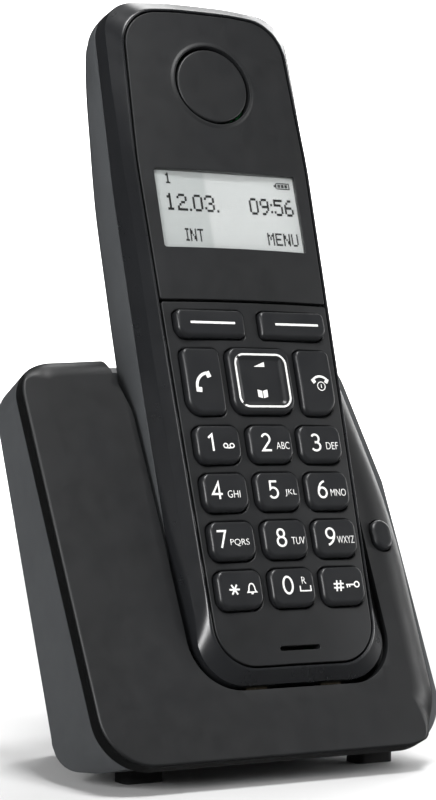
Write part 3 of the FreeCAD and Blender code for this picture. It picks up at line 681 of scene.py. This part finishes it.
def make_fascia():
    """Upper front panel with the display window and the earpiece ring."""
    rim = grown(mirrored([(20.65, 35.5, 0.65), (21.3, 68, 120), (19.9, 102.8, 9.0), (7, 103.7, 60)]),
                -PANEL_GAP)
    window = traced(box_outline(*WINDOW, 0.5, 0, WINDOW_V), 220)
    ear = circle(9.4, 0, EAR_V, 96)
    skin = panel_skin(traced(rim, 520), PANEL_LIP, [(window, 0.10), (ear, EAR_BEAD)], front_height,
                      PANEL_FLOOR, 1.6)
    belong(skin.make("display_front", HANDSET), "handset", "shell_abs", PANEL_ABS, "display_fascia")
    disc = crowned_plate("ear_disc", circle(8.7, 0, EAR_V, 96), -1.65, 0.12, lip(0.35, 5, 0.4), 1.4)
    belong(disc, "handset", "panel_abs", PANEL_ABS, "earpiece_disc")


LETTERS = {
    "0": "01110 10001 10001 10001 10001 10001 01110", "1": "00100 01100 00100 00100 00100 00100 01110",
    "2": "01110 10001 00001 00110 01000 10000 11111", "3": "01110 10001 00001 00110 00001 10001 01110",
    "5": "11111 10000 11110 00001 00001 10001 01110", "6": "00110 01000 10000 11110 10001 10001 01110",
    "9": "01110 10001 10001 01111 00001 00010 01100", ".": "0 0 0 0 0 0 1", ":": "0 0 1 0 0 1 0",
    "I": "111 010 010 010 010 010 111", "N": "10001 11001 11001 10101 10011 10011 10001",
    "T": "11111 00100 00100 00100 00100 00100 00100", "M": "10001 11011 10101 10101 10001 10001 10001",
    "E": "11111 10000 10000 11110 10000 10000 11111", "U": "10001 10001 10001 10001 10001 10001 01110",
}
BATTERY_ICON = [
    (13.2, 62.8, 3.3, 0.25), (13.2, 64.1, 3.3, 0.25), (12.9, 63.0, 0.3, 1.15), (16.3, 62.8, 0.25, 1.55),
    (12.5, 63.3, 0.4, 0.5), (13.5, 63.2, 0.65, 0.75), (14.4, 63.2, 0.65, 0.75), (15.3, 63.2, 0.65, 0.75),
]


def dot_text(skin, text, x, y, dot, tall):
    """Dot-matrix characters as tiny raised squares, from their lower left corner."""
    for letter in text:
        rows = LETTERS[letter].split()
        for r, line in enumerate(rows):
            for c, lit in enumerate(line):
                if lit == "1":
                    raise_dot(skin, x + c * dot, y + (len(rows) - 1 - r) * tall, dot, tall)
        x += (len(rows[0]) + 1.0) * dot


def raise_dot(skin, left, low, wide, tall):
    """One closed low block standing on the display glass."""
    spots = np.array([(left, low), (left + wide, low), (left + wide, low + tall), (left, low + tall)])
    bottom, top = skin.row(spots, CELL_FRONT + 0.01), skin.row(spots, CELL_FRONT + 0.04)
    skin.band(bottom, top)
    skin.faces += [tuple(reversed(bottom)), tuple(top)]


def make_display():
    """Window, display cell and what it shows: a date, a time and two generic soft labels."""
    window = traced(box_outline(WINDOW[0] - 0.24, WINDOW[1] - 0.24, 0.4, 0, WINDOW_V), 200)
    lens = crowned_plate("window", window, CELL_FRONT + 0.06, 0.18, lip(0.12, 3, 0.18), 2.0)
    belong(lens, "handset", "lens_acrylic", ACRYLIC, "display_lens")

    cell = Skin()
    spots, out = traced(box_outline(WINDOW[0] - 0.06, WINDOW[1] - 0.06, 0.3, 0, WINDOW_V), 120)
    cell.close([cell.row(spots, -4.6), cell.row(spots, CELL_FRONT - 0.1),
                cell.row(spots - out * 0.1, CELL_FRONT)])
    belong(cell.make("display_cell", HANDSET), "handset", "display_glass", DISPLAY, "lcd_module")

    marks = Skin()
    dot_text(marks, "12.03.", -15.6, 56.4, 0.485, 0.56)
    dot_text(marks, "09:56", 5.4, 56.4, 0.45, 0.56)
    dot_text(marks, "1", -15.1, 62.6, 0.36, 0.36)
    dot_text(marks, "INT", -11.8, 49.4, 0.30, 0.42)
    dot_text(marks, "MENU", 8.8, 49.3, 0.34, 0.42)
    for bar in BATTERY_ICON:
        raise_dot(marks, *bar)
    belong(marks.make("display_marks", HANDSET), "handset", "display_glass", SEGMENTS)


# ------------ keys
NUMBER = (10.4, 8.2)
PITCH = (12.49, 10.35)
FIRST_ROW = 3.2
KEY_RISE = 1.2


def key_spots():
    """Every key as name -> (u, v, outline corners about its centre)."""
    keys = {}
    names = ["key_%d" % n for n in range(1, 10)] + ["key_star", "key_0", "key_hash"]
    for i, name in enumerate(names):
        keys[name] = ((i % 3 - 1) * PITCH[0], FIRST_ROW - (i // 3) * PITCH[1],
                      box_outline(*NUMBER, (2.5, 2.5, 1.9, 1.9)))
    keys["soft_key_left"] = (-10.05, 29.95, box_outline(16.3, 6.1, (2.4, 1.0, 1.3, 1.3)))
    keys["soft_key_right"] = (10.25, 29.95, box_outline(16.3, 6.1, (1.0, 2.4, 1.3, 1.3)))
    keys["talk_key"] = (-13.6, 17.1, box_outline(8.8, 14.6, (3.6, 1.4, 1.4, 1.4)))
    keys["end_key"] = (14.0, 17.1, box_outline(8.4, 14.6, (1.8, 3.6, 1.4, 1.4)))
    keys["nav_key"] = (0.1, 17.2, box_outline(15.0, 14.6, (3.2, 3.2, 2.2, 2.2)))
    return keys


KEYS = key_spots()
ROCKER_FACE = 0.72
ROCKER_FALL = 0.4
ROCKER_DISH = [(1.75, 1.2), (1.95, 1.17), (2.15, 1.08), (2.5, 0.82), (2.7, 0.74), (2.95, ROCKER_FACE)]


def cap_edge(out):
    """Edge radius of a key cap: full below and on the left, tighter above and on the right."""
    below = np.clip(-out[:, 1], 0, 1) ** 2
    left = np.clip(-out[:, 0], 0, 1) ** 2
    return 0.5 + 0.55 * below + 0.35 * left


def crown(y, half):
    """How far a key top falls away above and below its middle."""
    return 0.22 * np.square(y / half)


def key_top(name, x, y):
    """Height of a key's top face at a point given from its centre."""
    tall = max(c[1] for c in KEYS[name][2])
    level = ROCKER_FACE if name == "nav_key" else KEY_RISE
    fall = ROCKER_FALL if name == "nav_key" else 1.0
    return level - fall * crown(y, tall) + front_height(KEYS[name][0])


def make_key(name):
    """One key cap: straight walls, a softly rounded top edge and a slightly crowned top."""
    u, v, corners = KEYS[name]
    tall = max(c[1] for c in corners)
    drop = front_height(u)
    dished = name == "nav_key"
    fall = ROCKER_FALL if dished else 1.0
    count = 144
    _, out = traced(corners, count)
    radius = cap_edge(out)
    steps = [(0.0, -3.4 if dished else -2.9), (0.0, -0.6)]
    steps += [(radius * (1 - math.cos(a)), KEY_RISE - radius * (1 - math.sin(a)))
              for a in np.linspace(0, math.pi / 2, 9)]
    steps += ROCKER_DISH if dished else [(radius + 0.25, KEY_RISE)]
    skin = Skin()
    rows = []
    for inward, z in steps:
        depth = np.broadcast_to(inward, (count,))
        low, high = (traced(grown(corners, -level), count)[0] for level in (depth.min(), depth.max()))
        share = ((depth - depth.min()) / max(np.ptp(depth), 1e-9))[:, None]
        at = low + (high - low) * share
        bend = fall * crown(at[:, 1], tall) * np.clip(z, 0, None) / KEY_RISE
        rows.append(skin.row(at + (u, v), z - bend + drop))
    skin.close(rows, lambda x, y: key_top(name, x - u, y - v), 0.8)
    belong(skin.make(name + "_cap", HANDSET, 50.0), name, "key_plastic", KEY_PLASTIC, name)


def make_keypad_panel():
    """Lower front panel: a rounded hole around every key and the speaking slot."""
    rim = grown(mirrored([(18.9, -43.8, 9.0), (20.2, 13, 150), (20.65, 35.3, 0.65)]), -PANEL_GAP)
    holes = []
    for u, v, corners in KEYS.values():
        moved = [(x + u, y + v, r) for x, y, r in grown(corners, 0.3)]
        holes.append((traced(moved, 132), 0.35))
    slot = traced(box_outline(9.7, 0.95, 0.46, 0.15, -40.3), 90)
    holes.append((slot, 0.12))
    skin = panel_skin(traced(rim, 560), PANEL_LIP, holes, front_height, PANEL_FLOOR, 1.5)
    belong(skin.make("keypad_front", HANDSET), "handset", "panel_abs", PANEL_ABS, "keypad_panel")


# ------------ legends
def flat_text(text, wide, tall, x, y):
    """Generic characters as a flat mesh filling a box centred on (x, y), in millimetres."""
    curve = bpy.data.curves.new("legend", "FONT")
    curve.body = text
    curve.offset = -0.008
    curve.resolution_u = 5
    carrier = stand_in_scene("legend", curve)
    mesh = finished_mesh(carrier)
    bpy.data.objects.remove(carrier)
    spots = np.array([v.co for v in mesh.vertices])
    low, high = spots.min(0), spots.max(0)
    fit = Matrix.Diagonal((wide / (high[0] - low[0]), tall / (high[1] - low[1]), 1, 1))
    middle = Vector(((low[0] + high[0]) / 2, (low[1] + high[1]) / 2, 0))
    mesh.transform(Matrix.Translation((x, y, 0)) @ fit @ Matrix.Translation(-middle))
    return mesh


def stroke(points, width, closed=False):
    """A flat ribbon along a line, as (points, faces)."""
    path = [Vector(p) for p in points]
    count = len(path)
    left, right = [], []
    for i, here in enumerate(path):
        before = path[i - 1] if i or closed else here
        after = path[(i + 1) % count] if i < count - 1 or closed else here
        first = (here - before).normalized() if here != before else None
        second = (after - here).normalized() if after != here else None
        along = ((first or second) + (second or first)).normalized()
        side = Vector((-along.y, along.x))
        reach = width / 2 / max(0.4, side.dot(Vector((-(second or first).y, (second or first).x))))
        left.append(here + side * reach)
        right.append(here - side * reach)
    spots = left + right
    last = count if closed else count - 1
    faces = [(i, (i + 1) % count, count + (i + 1) % count, count + i) for i in range(last)]
    return spots, faces


def handset_icon(x, y, size, turn):
    """A curved handset: a bowed bar with a thicker block at each end."""
    arm = [Vector(p) for p in bow(0, -size * 0.62, size, size, 42, 138, 14)]
    shapes = [stroke(arm, size * 0.20)]
    for end, tilt in ((arm[0], -32), (arm[-1], 32)):
        turned = Matrix.Rotation(math.radians(tilt), 2)
        corners = [turned @ Vector(p) for p in ((-size * 0.17, -size * 0.33), (size * 0.17, -size * 0.33),
                                                (size * 0.17, size * 0.10), (-size * 0.17, size * 0.10))]
        shapes.append(([end + c for c in corners], [(0, 1, 2, 3)]))
    spin = Matrix.Rotation(math.radians(turn), 2)
    return [([spin @ Vector(p) + Vector((x, y)) for p in spots], faces) for spots, faces in shapes]


def ink_mesh(shapes, texts):
    """Join ribbons and characters into one flat mesh."""
    work = bmesh.new()
    for spots, faces in shapes:
        corners = [work.verts.new((*p, 0.0)) for p in spots]
        for face in faces:
            work.faces.new([corners[i] for i in face])
    for mesh in texts:
        work.from_mesh(mesh)
    bmesh.ops.triangulate(work, faces=work.faces)
    for _ in range(3):
        long_edges = [e for e in work.edges if e.calc_length() > 0.7]
        if not long_edges:
            break
        bmesh.ops.subdivide_edges(work, edges=long_edges, cuts=1)
        bmesh.ops.triangulate(work, faces=work.faces)
    mesh = bpy.data.meshes.new("ink")
    work.to_mesh(mesh)
    work.free()
    return mesh


def print_on_key(name, shapes, texts=()):
    """Lay ink on a key's crowned top and thicken it to a film."""
    u, v, _ = KEYS[name]
    work = bmesh.new()
    work.from_mesh(ink_mesh(shapes, texts))
    for face in work.faces:
        face.normal_update()
        if face.normal.z < 0:
            face.normal_flip()
    for vert in work.verts:
        x, y = vert.co.x, vert.co.y
        on_rim = name == "nav_key" and max(abs(x), abs(y)) > 5.3
        top = KEY_RISE + front_height(u) if on_rim else key_top(name, x, y)
        vert.co = Vector((x + u, y + v, top + 0.035))
    raised = bmesh.ops.extrude_face_region(work, geom=work.faces[:])
    for vert in [g for g in raised["geom"] if isinstance(g, bmesh.types.BMVert)]:
        vert.co.z -= 0.05
    bmesh.ops.recalc_face_normals(work, faces=work.faces)
    mesh = bpy.data.meshes.new(name + "_print")
    work.to_mesh(mesh)
    work.free()
    mesh.transform(HANDSET)
    belong(stand_in_scene(name + "_print", mesh), name, "key_plastic", WHITE_INK)


def bow(x, y, wide, tall, start, end, steps=18):
    """Part of an ellipse of given half sizes, angles in degrees."""
    return [(x + wide * math.cos(math.radians(a)), y + tall * math.sin(math.radians(a)))
            for a in np.linspace(start, end, steps)]


def digit_lines(n):
    """Centre lines of a plain digit one unit tall, as (points, closed)."""
    six = [(0.20, 0.5), (0.06, 0.44), (-0.08, 0.33), (-0.2, 0.14), (-0.27, -0.08)]
    loop = bow(0, -0.2, 0.28, 0.30, 155, 515, 29)[:-1]
    lines = {
        0: [(bow(0, 0, 0.31, 0.5, 90, 450, 33)[:-1], True)],
        1: [([(-0.22, 0.30), (0.04, 0.5), (0.04, -0.5)], False)],
        2: [(bow(-0.01, 0.22, 0.26, 0.28, 160, -35) + [(-0.29, -0.5), (0.30, -0.5)], False)],
        3: [(bow(-0.03, 0.25, 0.25, 0.25, 150, -90) + bow(-0.04, -0.24, 0.30, 0.26, 88, -150), False)],
        4: [([(0.12, -0.5), (0.12, 0.5), (-0.33, -0.2), (0.33, -0.2)], False)],
        5: [([(0.25, 0.5), (-0.19, 0.5), (-0.22, 0.05)] + bow(-0.04, -0.19, 0.30, 0.31, 118, -145), False)],
        6: [(six, False), (loop, True)],
        7: [([(-0.28, 0.5), (0.28, 0.5), (-0.08, -0.5)], False)],
        8: [(bow(0, 0.26, 0.23, 0.24, 90, 450, 25)[:-1], True),
            (bow(0, -0.24, 0.29, 0.27, 90, 450, 25)[:-1], True)],
        9: [([(-x, -y) for x, y in six], False), ([(-x, -y) for x, y in loop], True)],
    }
    return lines[n]


def digit(n, x, y, tall=3.55, width=0.44):
    """Ribbons of one digit centred on (x, y)."""
    return [stroke([(x + px * tall, y + py * tall) for px, py in points], width, closed)
            for points, closed in digit_lines(n)]


def print_legends():
    """Digits, letters and icons of every key."""
    letters = {2: ("ABC", 3.2, -1.2, 2.75), 3: ("DEF", 3.0, -1.15, 2.75), 4: ("GHI", 3.0, -2.1, 1.75),
               5: ("JKL", 2.8, -1.2, 2.9), 6: ("MNO", 3.8, -1.5, 2.4), 7: ("PQRS", 4.5, -2.7, 1.45),
               8: ("TUV", 3.2, -1.15, 2.85), 9: ("WXYZ", 4.2, -1.3, 2.35)}
    reels = [stroke(bow(x, -0.35, 0.5, 0.46, 0, 340, 17), 0.24, True) for x in (1.5, 3.0)]
    print_on_key("key_1", digit(1, -1.65, 0.3) + reels + [stroke([(1.4, -0.83), (3.1, -0.83)], 0.22)])
    for n, (word, wide, left, right) in letters.items():
        print_on_key("key_%d" % n, digit(n, left, 0.3), [flat_text(word, wide, 1.55, right, -0.45)])
    star = [stroke([(-1.5 - 1.2 * math.cos(a), 0.05 - 1.2 * math.sin(a)),
                    (-1.5 + 1.2 * math.cos(a), 0.05 + 1.2 * math.sin(a))], 0.36)
            for a in (math.pi * 0.68, math.pi * 0.32, 0.0)]
    bell = [(1.55, -0.6), (1.85, -0.2), (1.95, 0.5), (2.2, 1.05), (2.6, 1.2), (3.0, 1.05), (3.25, 0.5),
            (3.35, -0.2), (3.65, -0.6)]
    print_on_key("key_star", star + [stroke(bell, 0.26, True), stroke([(2.35, -0.85), (2.85, -0.85)], 0.4)])
    space = stroke([(1.55, 0.25), (1.55, -0.85), (4.1, -0.85), (4.1, 0.25)], 0.26)
    print_on_key("key_0", digit(0, -1.3, 0.5) + [space], [flat_text("R", 1.0, 1.5, 2.65, 1.4)])
    bars = [stroke([(x - 0.12, -1.15), (x + 0.12, 1.15)], 0.34) for x in (-1.7, -0.75)]
    bars += [stroke([(-2.45, y), (0.0, y)], 0.34) for y in (-0.42, 0.42)]
    latch = [stroke(bow(3.25, 0.15, 0.58, 0.58, 0, 340, 19), 0.27, True),
             stroke([(2.7, 0.15), (0.6, 0.15)], 0.3),
             stroke([(0.85, 0.1), (0.85, -0.5)], 0.26), stroke([(1.45, 0.1), (1.45, -0.4)], 0.26)]
    print_on_key("key_hash", bars + latch)
    for name, x in (("soft_key_left", 0.35), ("soft_key_right", 0.9)):
        print_on_key(name, [stroke([(x - 5.4, 0.1), (x + 5.4, 0.1)], 0.5)])
    print_on_key("talk_key", handset_icon(-0.5, -0.2, 3.1, 52))
    power = [stroke(bow(1.05, -0.9, 0.95, 0.95, 0, 345, 24), 0.18, True),
             stroke([(1.05, -0.5), (1.05, -1.3)], 0.2)]
    print_on_key("end_key", handset_icon(0.9, 0.4, 2.4, 0) + power)
    ring = drawn(box_outline(12.4, 11.6, 2.2, 0.25, 0))
    ramp = ([(-1.3, 3.2), (1.4, 3.2), (1.4, 4.3)], [(0, 1, 2)])
    pages = [([(side * 1.2, -3.5), (side * 0.12, -3.8), (side * 0.12, -2.2), (side * 1.2, -1.9)],
              [(0, 1, 2, 3)]) for side in (-1, 1)]
    print_on_key("nav_key", [stroke(ring, 0.42, True), ramp] + pages)


# ------------ base
FACE_RIM = [(-40.6, 6.7, 11), (42.0, 6.7, 14), (43.6, 59.5, 150), (37.2, 100.8, 9), (-43.9, 95.9, 9)]
SLOT = mirrored([(24.1, -48.1, 11), (24.6, -14, 120), (25.45, 14, 12), (28.9, 25.0, 4), (30.5, 70, 0)])
PAGE = (35.2, 53.8)
COVER_DEEP = 4.0
COVER_WALL = 2.0
BAND_RIGHT = 30
BAND_TILT = 0.35


def edge_round(out):
    """Edge radius of the base cover: tight at the left and below, full at the top and right."""
    top = np.clip((out[:, 1] - 0.35) / 0.5, 0, 1)
    right = np.clip((out[:, 0] - 0.35) / 0.5, 0, 1)
    ease = [3 * t ** 2 - 2 * t ** 3 for t in (top, right)]
    return np.maximum(0.55 + 4.3 * ease[0], 0.55 + 8.2 * ease[1])


def make_base_cover():
    """Leaning front cover with a polished edge band, the handset slot and the paging-key hole."""
    spots, out = traced(FACE_RIM, 560)
    radius = edge_round(out)
    last = np.arccos(1 - np.minimum(1, COVER_DEEP / radius))
    skin = Skin()
    rows = [skin.row(spots - out * (radius + 0.15)[:, None], 0.0)]
    for k in range(13):
        angle = last * k / 12
        at = spots - out * (radius * (1 - np.sin(angle)))[:, None]
        rows.append(skin.row(at, -radius * (1 - np.cos(angle))))
    end = spots - out * (radius * (1 - np.sin(last)))[:, None]
    inner = spots - out * np.maximum(COVER_WALL, radius * 0.45)[:, None]
    rows += [skin.row(end, -COVER_DEEP + 0.12), skin.row(end - out * 0.12, -COVER_DEEP),
             skin.row(end - out * COVER_WALL, -COVER_DEEP), skin.row(inner, -COVER_WALL)]
    skin.bands(rows)
    skin.fill([rows[0]], lambda x, y: 0.0 * x, 3.0)
    skin.fill([rows[-1]])
    piece = skin.make("base_cover", FACE)
    slot = prism_tool("slot_tool", SLOT, -26, 40, HANDSET, 400)
    page = prism_tool("page_tool", box_outline(5.6, 7.6, 2.75, *PAGE), -12, 6, FACE, 64)
    carve(piece, slot)
    carve(piece, page)
    edge = piece.modifiers.new("rim", "BEVEL")
    edge.width = 0.3 * MM
    edge.segments = 2
    edge.limit_method = "ANGLE"
    edge.angle_limit = math.radians(50)
    bake_modifiers(piece, 40.0)
    discard([slot, page])
    belong(piece, "base", "cover_abs", COVER_ABS, "base_front_cover")
    piece.data.materials.append(EDGE_ABS)
    normal_out = FACE.to_3x3().normalized() @ Vector((0, 0, 1))
    flat = FACE.inverted()
    for polygon in piece.data.polygons:
        spot = flat @ polygon.center
        in_band = -COVER_DEEP + 0.02 < spot.z < -0.5 and spot.x < BAND_RIGHT
        in_slot = -26 < spot.x < 38 and 12 < spot.y < 102
        if in_band and not in_slot and polygon.normal.dot(normal_out) < BAND_TILT:
            polygon.material_index = 1


def make_paging_key():
    """Handset-finder key: an oval button with a soft crown."""
    spots, out = traced(box_outline(5.0, 7.0, 2.45, *PAGE), 72)
    skin = Skin()
    rows = [skin.row(spots, -3.3), skin.row(spots, 0.1)]
    for inward, z in ((0.05, 0.45), (0.2, 0.72), (0.5, 0.9), (0.9, 0.98), (1.3, 1.0)):
        rows.append(skin.row(spots - out * inward, z))
    skin.close(rows)
    belong(skin.make("paging_button", FACE, 50.0), "paging_key", "cover_abs", KEY_PLASTIC, "paging_key")


# ------------ carried-over pieces
CARRIED = [
    (SHELL_ABS, ["base_rear_housing", "base_bottom_cover"]),
    (POCKET_ABS, ["cradle_pocket"]),
    (BLACK_RESIN, ["lcd_holder", "line_socket", "power_socket", "microphone", "page_switch"]),
    (SILICONE, ["keypad_mat"]),
    (FOIL, ["dome_foil"]),
    (BOARD, ["handset_pcb", "base_pcb"]),
    (BRONZE, ["handset_antenna", "base_antennas", "charge_springs", "battery_contacts", "charge_contacts"]),
    (SPEAKER_STEEL, ["receiver_capsule", "ringer_speaker"]),
    (CELL_SLEEVE, ["battery_cell_1", "battery_cell_2"]),
    (STEEL, ["handset_screws", "base_screws"]),
    (FOOT_RUBBER, ["rubber_feet"]),
]


def dress_carried_nodes():
    """Give every CAD node that stays its real finish."""
    for finish, nodes in CARRIED:
        for node in nodes:
            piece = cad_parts[node]
            piece.data.materials.clear()
            piece.data.materials.append(finish)


# ------------ studio
STUDIO_TURN = 29.6
HALF_WIDE = 1.6
BEND_START = 1.2
BEND_RADIUS = 0.8
CENTRE = (0.0, 0.0, 0.08)
SOFTBOXES = [
    ("key softbox", (-0.08, -0.56, 1.56), CENTRE, (0.45, 0.45), 22.0),
    ("front fill", (0.80, -0.30, 0.22), CENTRE, (0.30, 0.30), 2.4),
    ("top softbox", (0.30, 0.34, 0.76), CENTRE, (0.35, 0.35), 2.2),
    ("left softbox", (-0.64, -0.42, 0.30), CENTRE, (0.25, 0.25), 4.6),
    ("right strip", (0.74, 0.40, 0.32), CENTRE, (0.20, 0.50), 2.2),
    ("backdrop wash", (1.2, 1.0, 1.0), (0.95, 1.7, 0.4), (0.8, 0.6), 45),
]
CAMERA_AT = (-0.22984, -0.40894, 0.07089)
CAMERA_LOOK = (0.49360419, 0.86954314, 0.01579934)
FOCAL_LENGTH = 97.75


def add_light(name, place, target, size, power):
    """A rectangular white softbox aimed at a point, sizes in metres."""
    data = bpy.data.lights.new(name, "AREA")
    data.shape = "RECTANGLE"
    data.size, data.size_y = size
    data.energy = power
    lamp = stand_in_scene(name, data)
    lamp.location = place
    aim = Vector(target) - Vector(place)
    lamp.rotation_euler = aim.to_track_quat("-Z", "Y").to_euler()


def make_floor():
    """Pale seamless floor that bends up into a backdrop, kept out of the object's gloss."""
    skin = Skin()
    profile = [(-HALF_WIDE, 0.0), (BEND_START, 0.0)]
    profile += [(BEND_START + BEND_RADIUS * math.sin(a), BEND_RADIUS * (1 - math.cos(a)))
                for a in np.linspace(0.1, math.pi / 2, 12)]
    profile += [(2.0, 3.0)]
    turn = Matrix.Rotation(-math.radians(STUDIO_TURN), 4, "Z")
    for y, z in profile:
        for x in (-HALF_WIDE, HALF_WIDE):
            skin.points.append(tuple(turn @ Vector((x, y, z))))
    skin.faces = [(2 * i, 2 * i + 1, 2 * i + 3, 2 * i + 2) for i in range(len(profile) - 1)]
    floor = skin.make("studio_floor", Matrix.Identity(4))
    # Nearly white and faintly sealed: a soft shadow and almost no mirror image.
    material, tree, where = new_finish("pale matt floor board")
    tone = tinted(tree, mottled(tree, where, 60.0, 0.0, 1.0), "#F6F6F6", "#F3F3F3")
    shader = add_node(tree, "ShaderNodeBsdfPrincipled", {"Base Color": tone},
                      {"Roughness": 0.22, "IOR": 1.13})
    close_finish(tree, shader)
    floor.data.materials.append(material)
    floor.visible_glossy = False


def make_world():
    """A dim white surround that lights the object, and a pale one behind it."""
    world = bpy.data.worlds.new("studio")
    world.use_nodes = True
    tree = world.node_tree
    dim = tree.nodes["Background"]
    dim.inputs["Color"].default_value = (1, 1, 1, 1)
    dim.inputs["Strength"].default_value = 0.04
    pale = add_node(tree, "ShaderNodeBackground", values={"Color": srgb("#F8F8F8"), "Strength": 1.0})
    path = add_node(tree, "ShaderNodeLightPath")
    seen = add_node(tree, "ShaderNodeMixShader", {0: path.outputs["Is Camera Ray"],
                                                  1: dim.outputs[0], 2: pale.outputs[0]})
    tree.links.new(seen.outputs[0], tree.nodes["World Output"].inputs["Surface"])
    bpy.context.scene.world = world


def make_camera():
    """The camera, in front of the object and to its left, almost level."""
    data = bpy.data.cameras.new("camera")
    data.sensor_fit = "VERTICAL"
    data.sensor_height = 36.0
    data.lens = FOCAL_LENGTH
    data.clip_start, data.clip_end = 0.01, 20
    camera = stand_in_scene("camera", data)
    look = Vector(CAMERA_LOOK).normalized()
    right = Vector((look.y, -look.x, 0)).normalized()
    up = right.cross(look)
    camera.matrix_world = Matrix((right, up, -look)).transposed().to_4x4()
    camera.location = CAMERA_AT
    bpy.context.scene.camera = camera
    bpy.context.scene.view_settings.view_transform = "Standard"


make_front_frame()
make_back()
make_fascia()
make_display()
make_keypad_panel()
for key_name in KEYS:
    make_key(key_name)
print_legends()
make_base_cover()
make_paging_key()
dress_carried_nodes()
make_floor()
make_world()
for softbox in SOFTBOXES:
    add_light(*softbox)
make_camera()
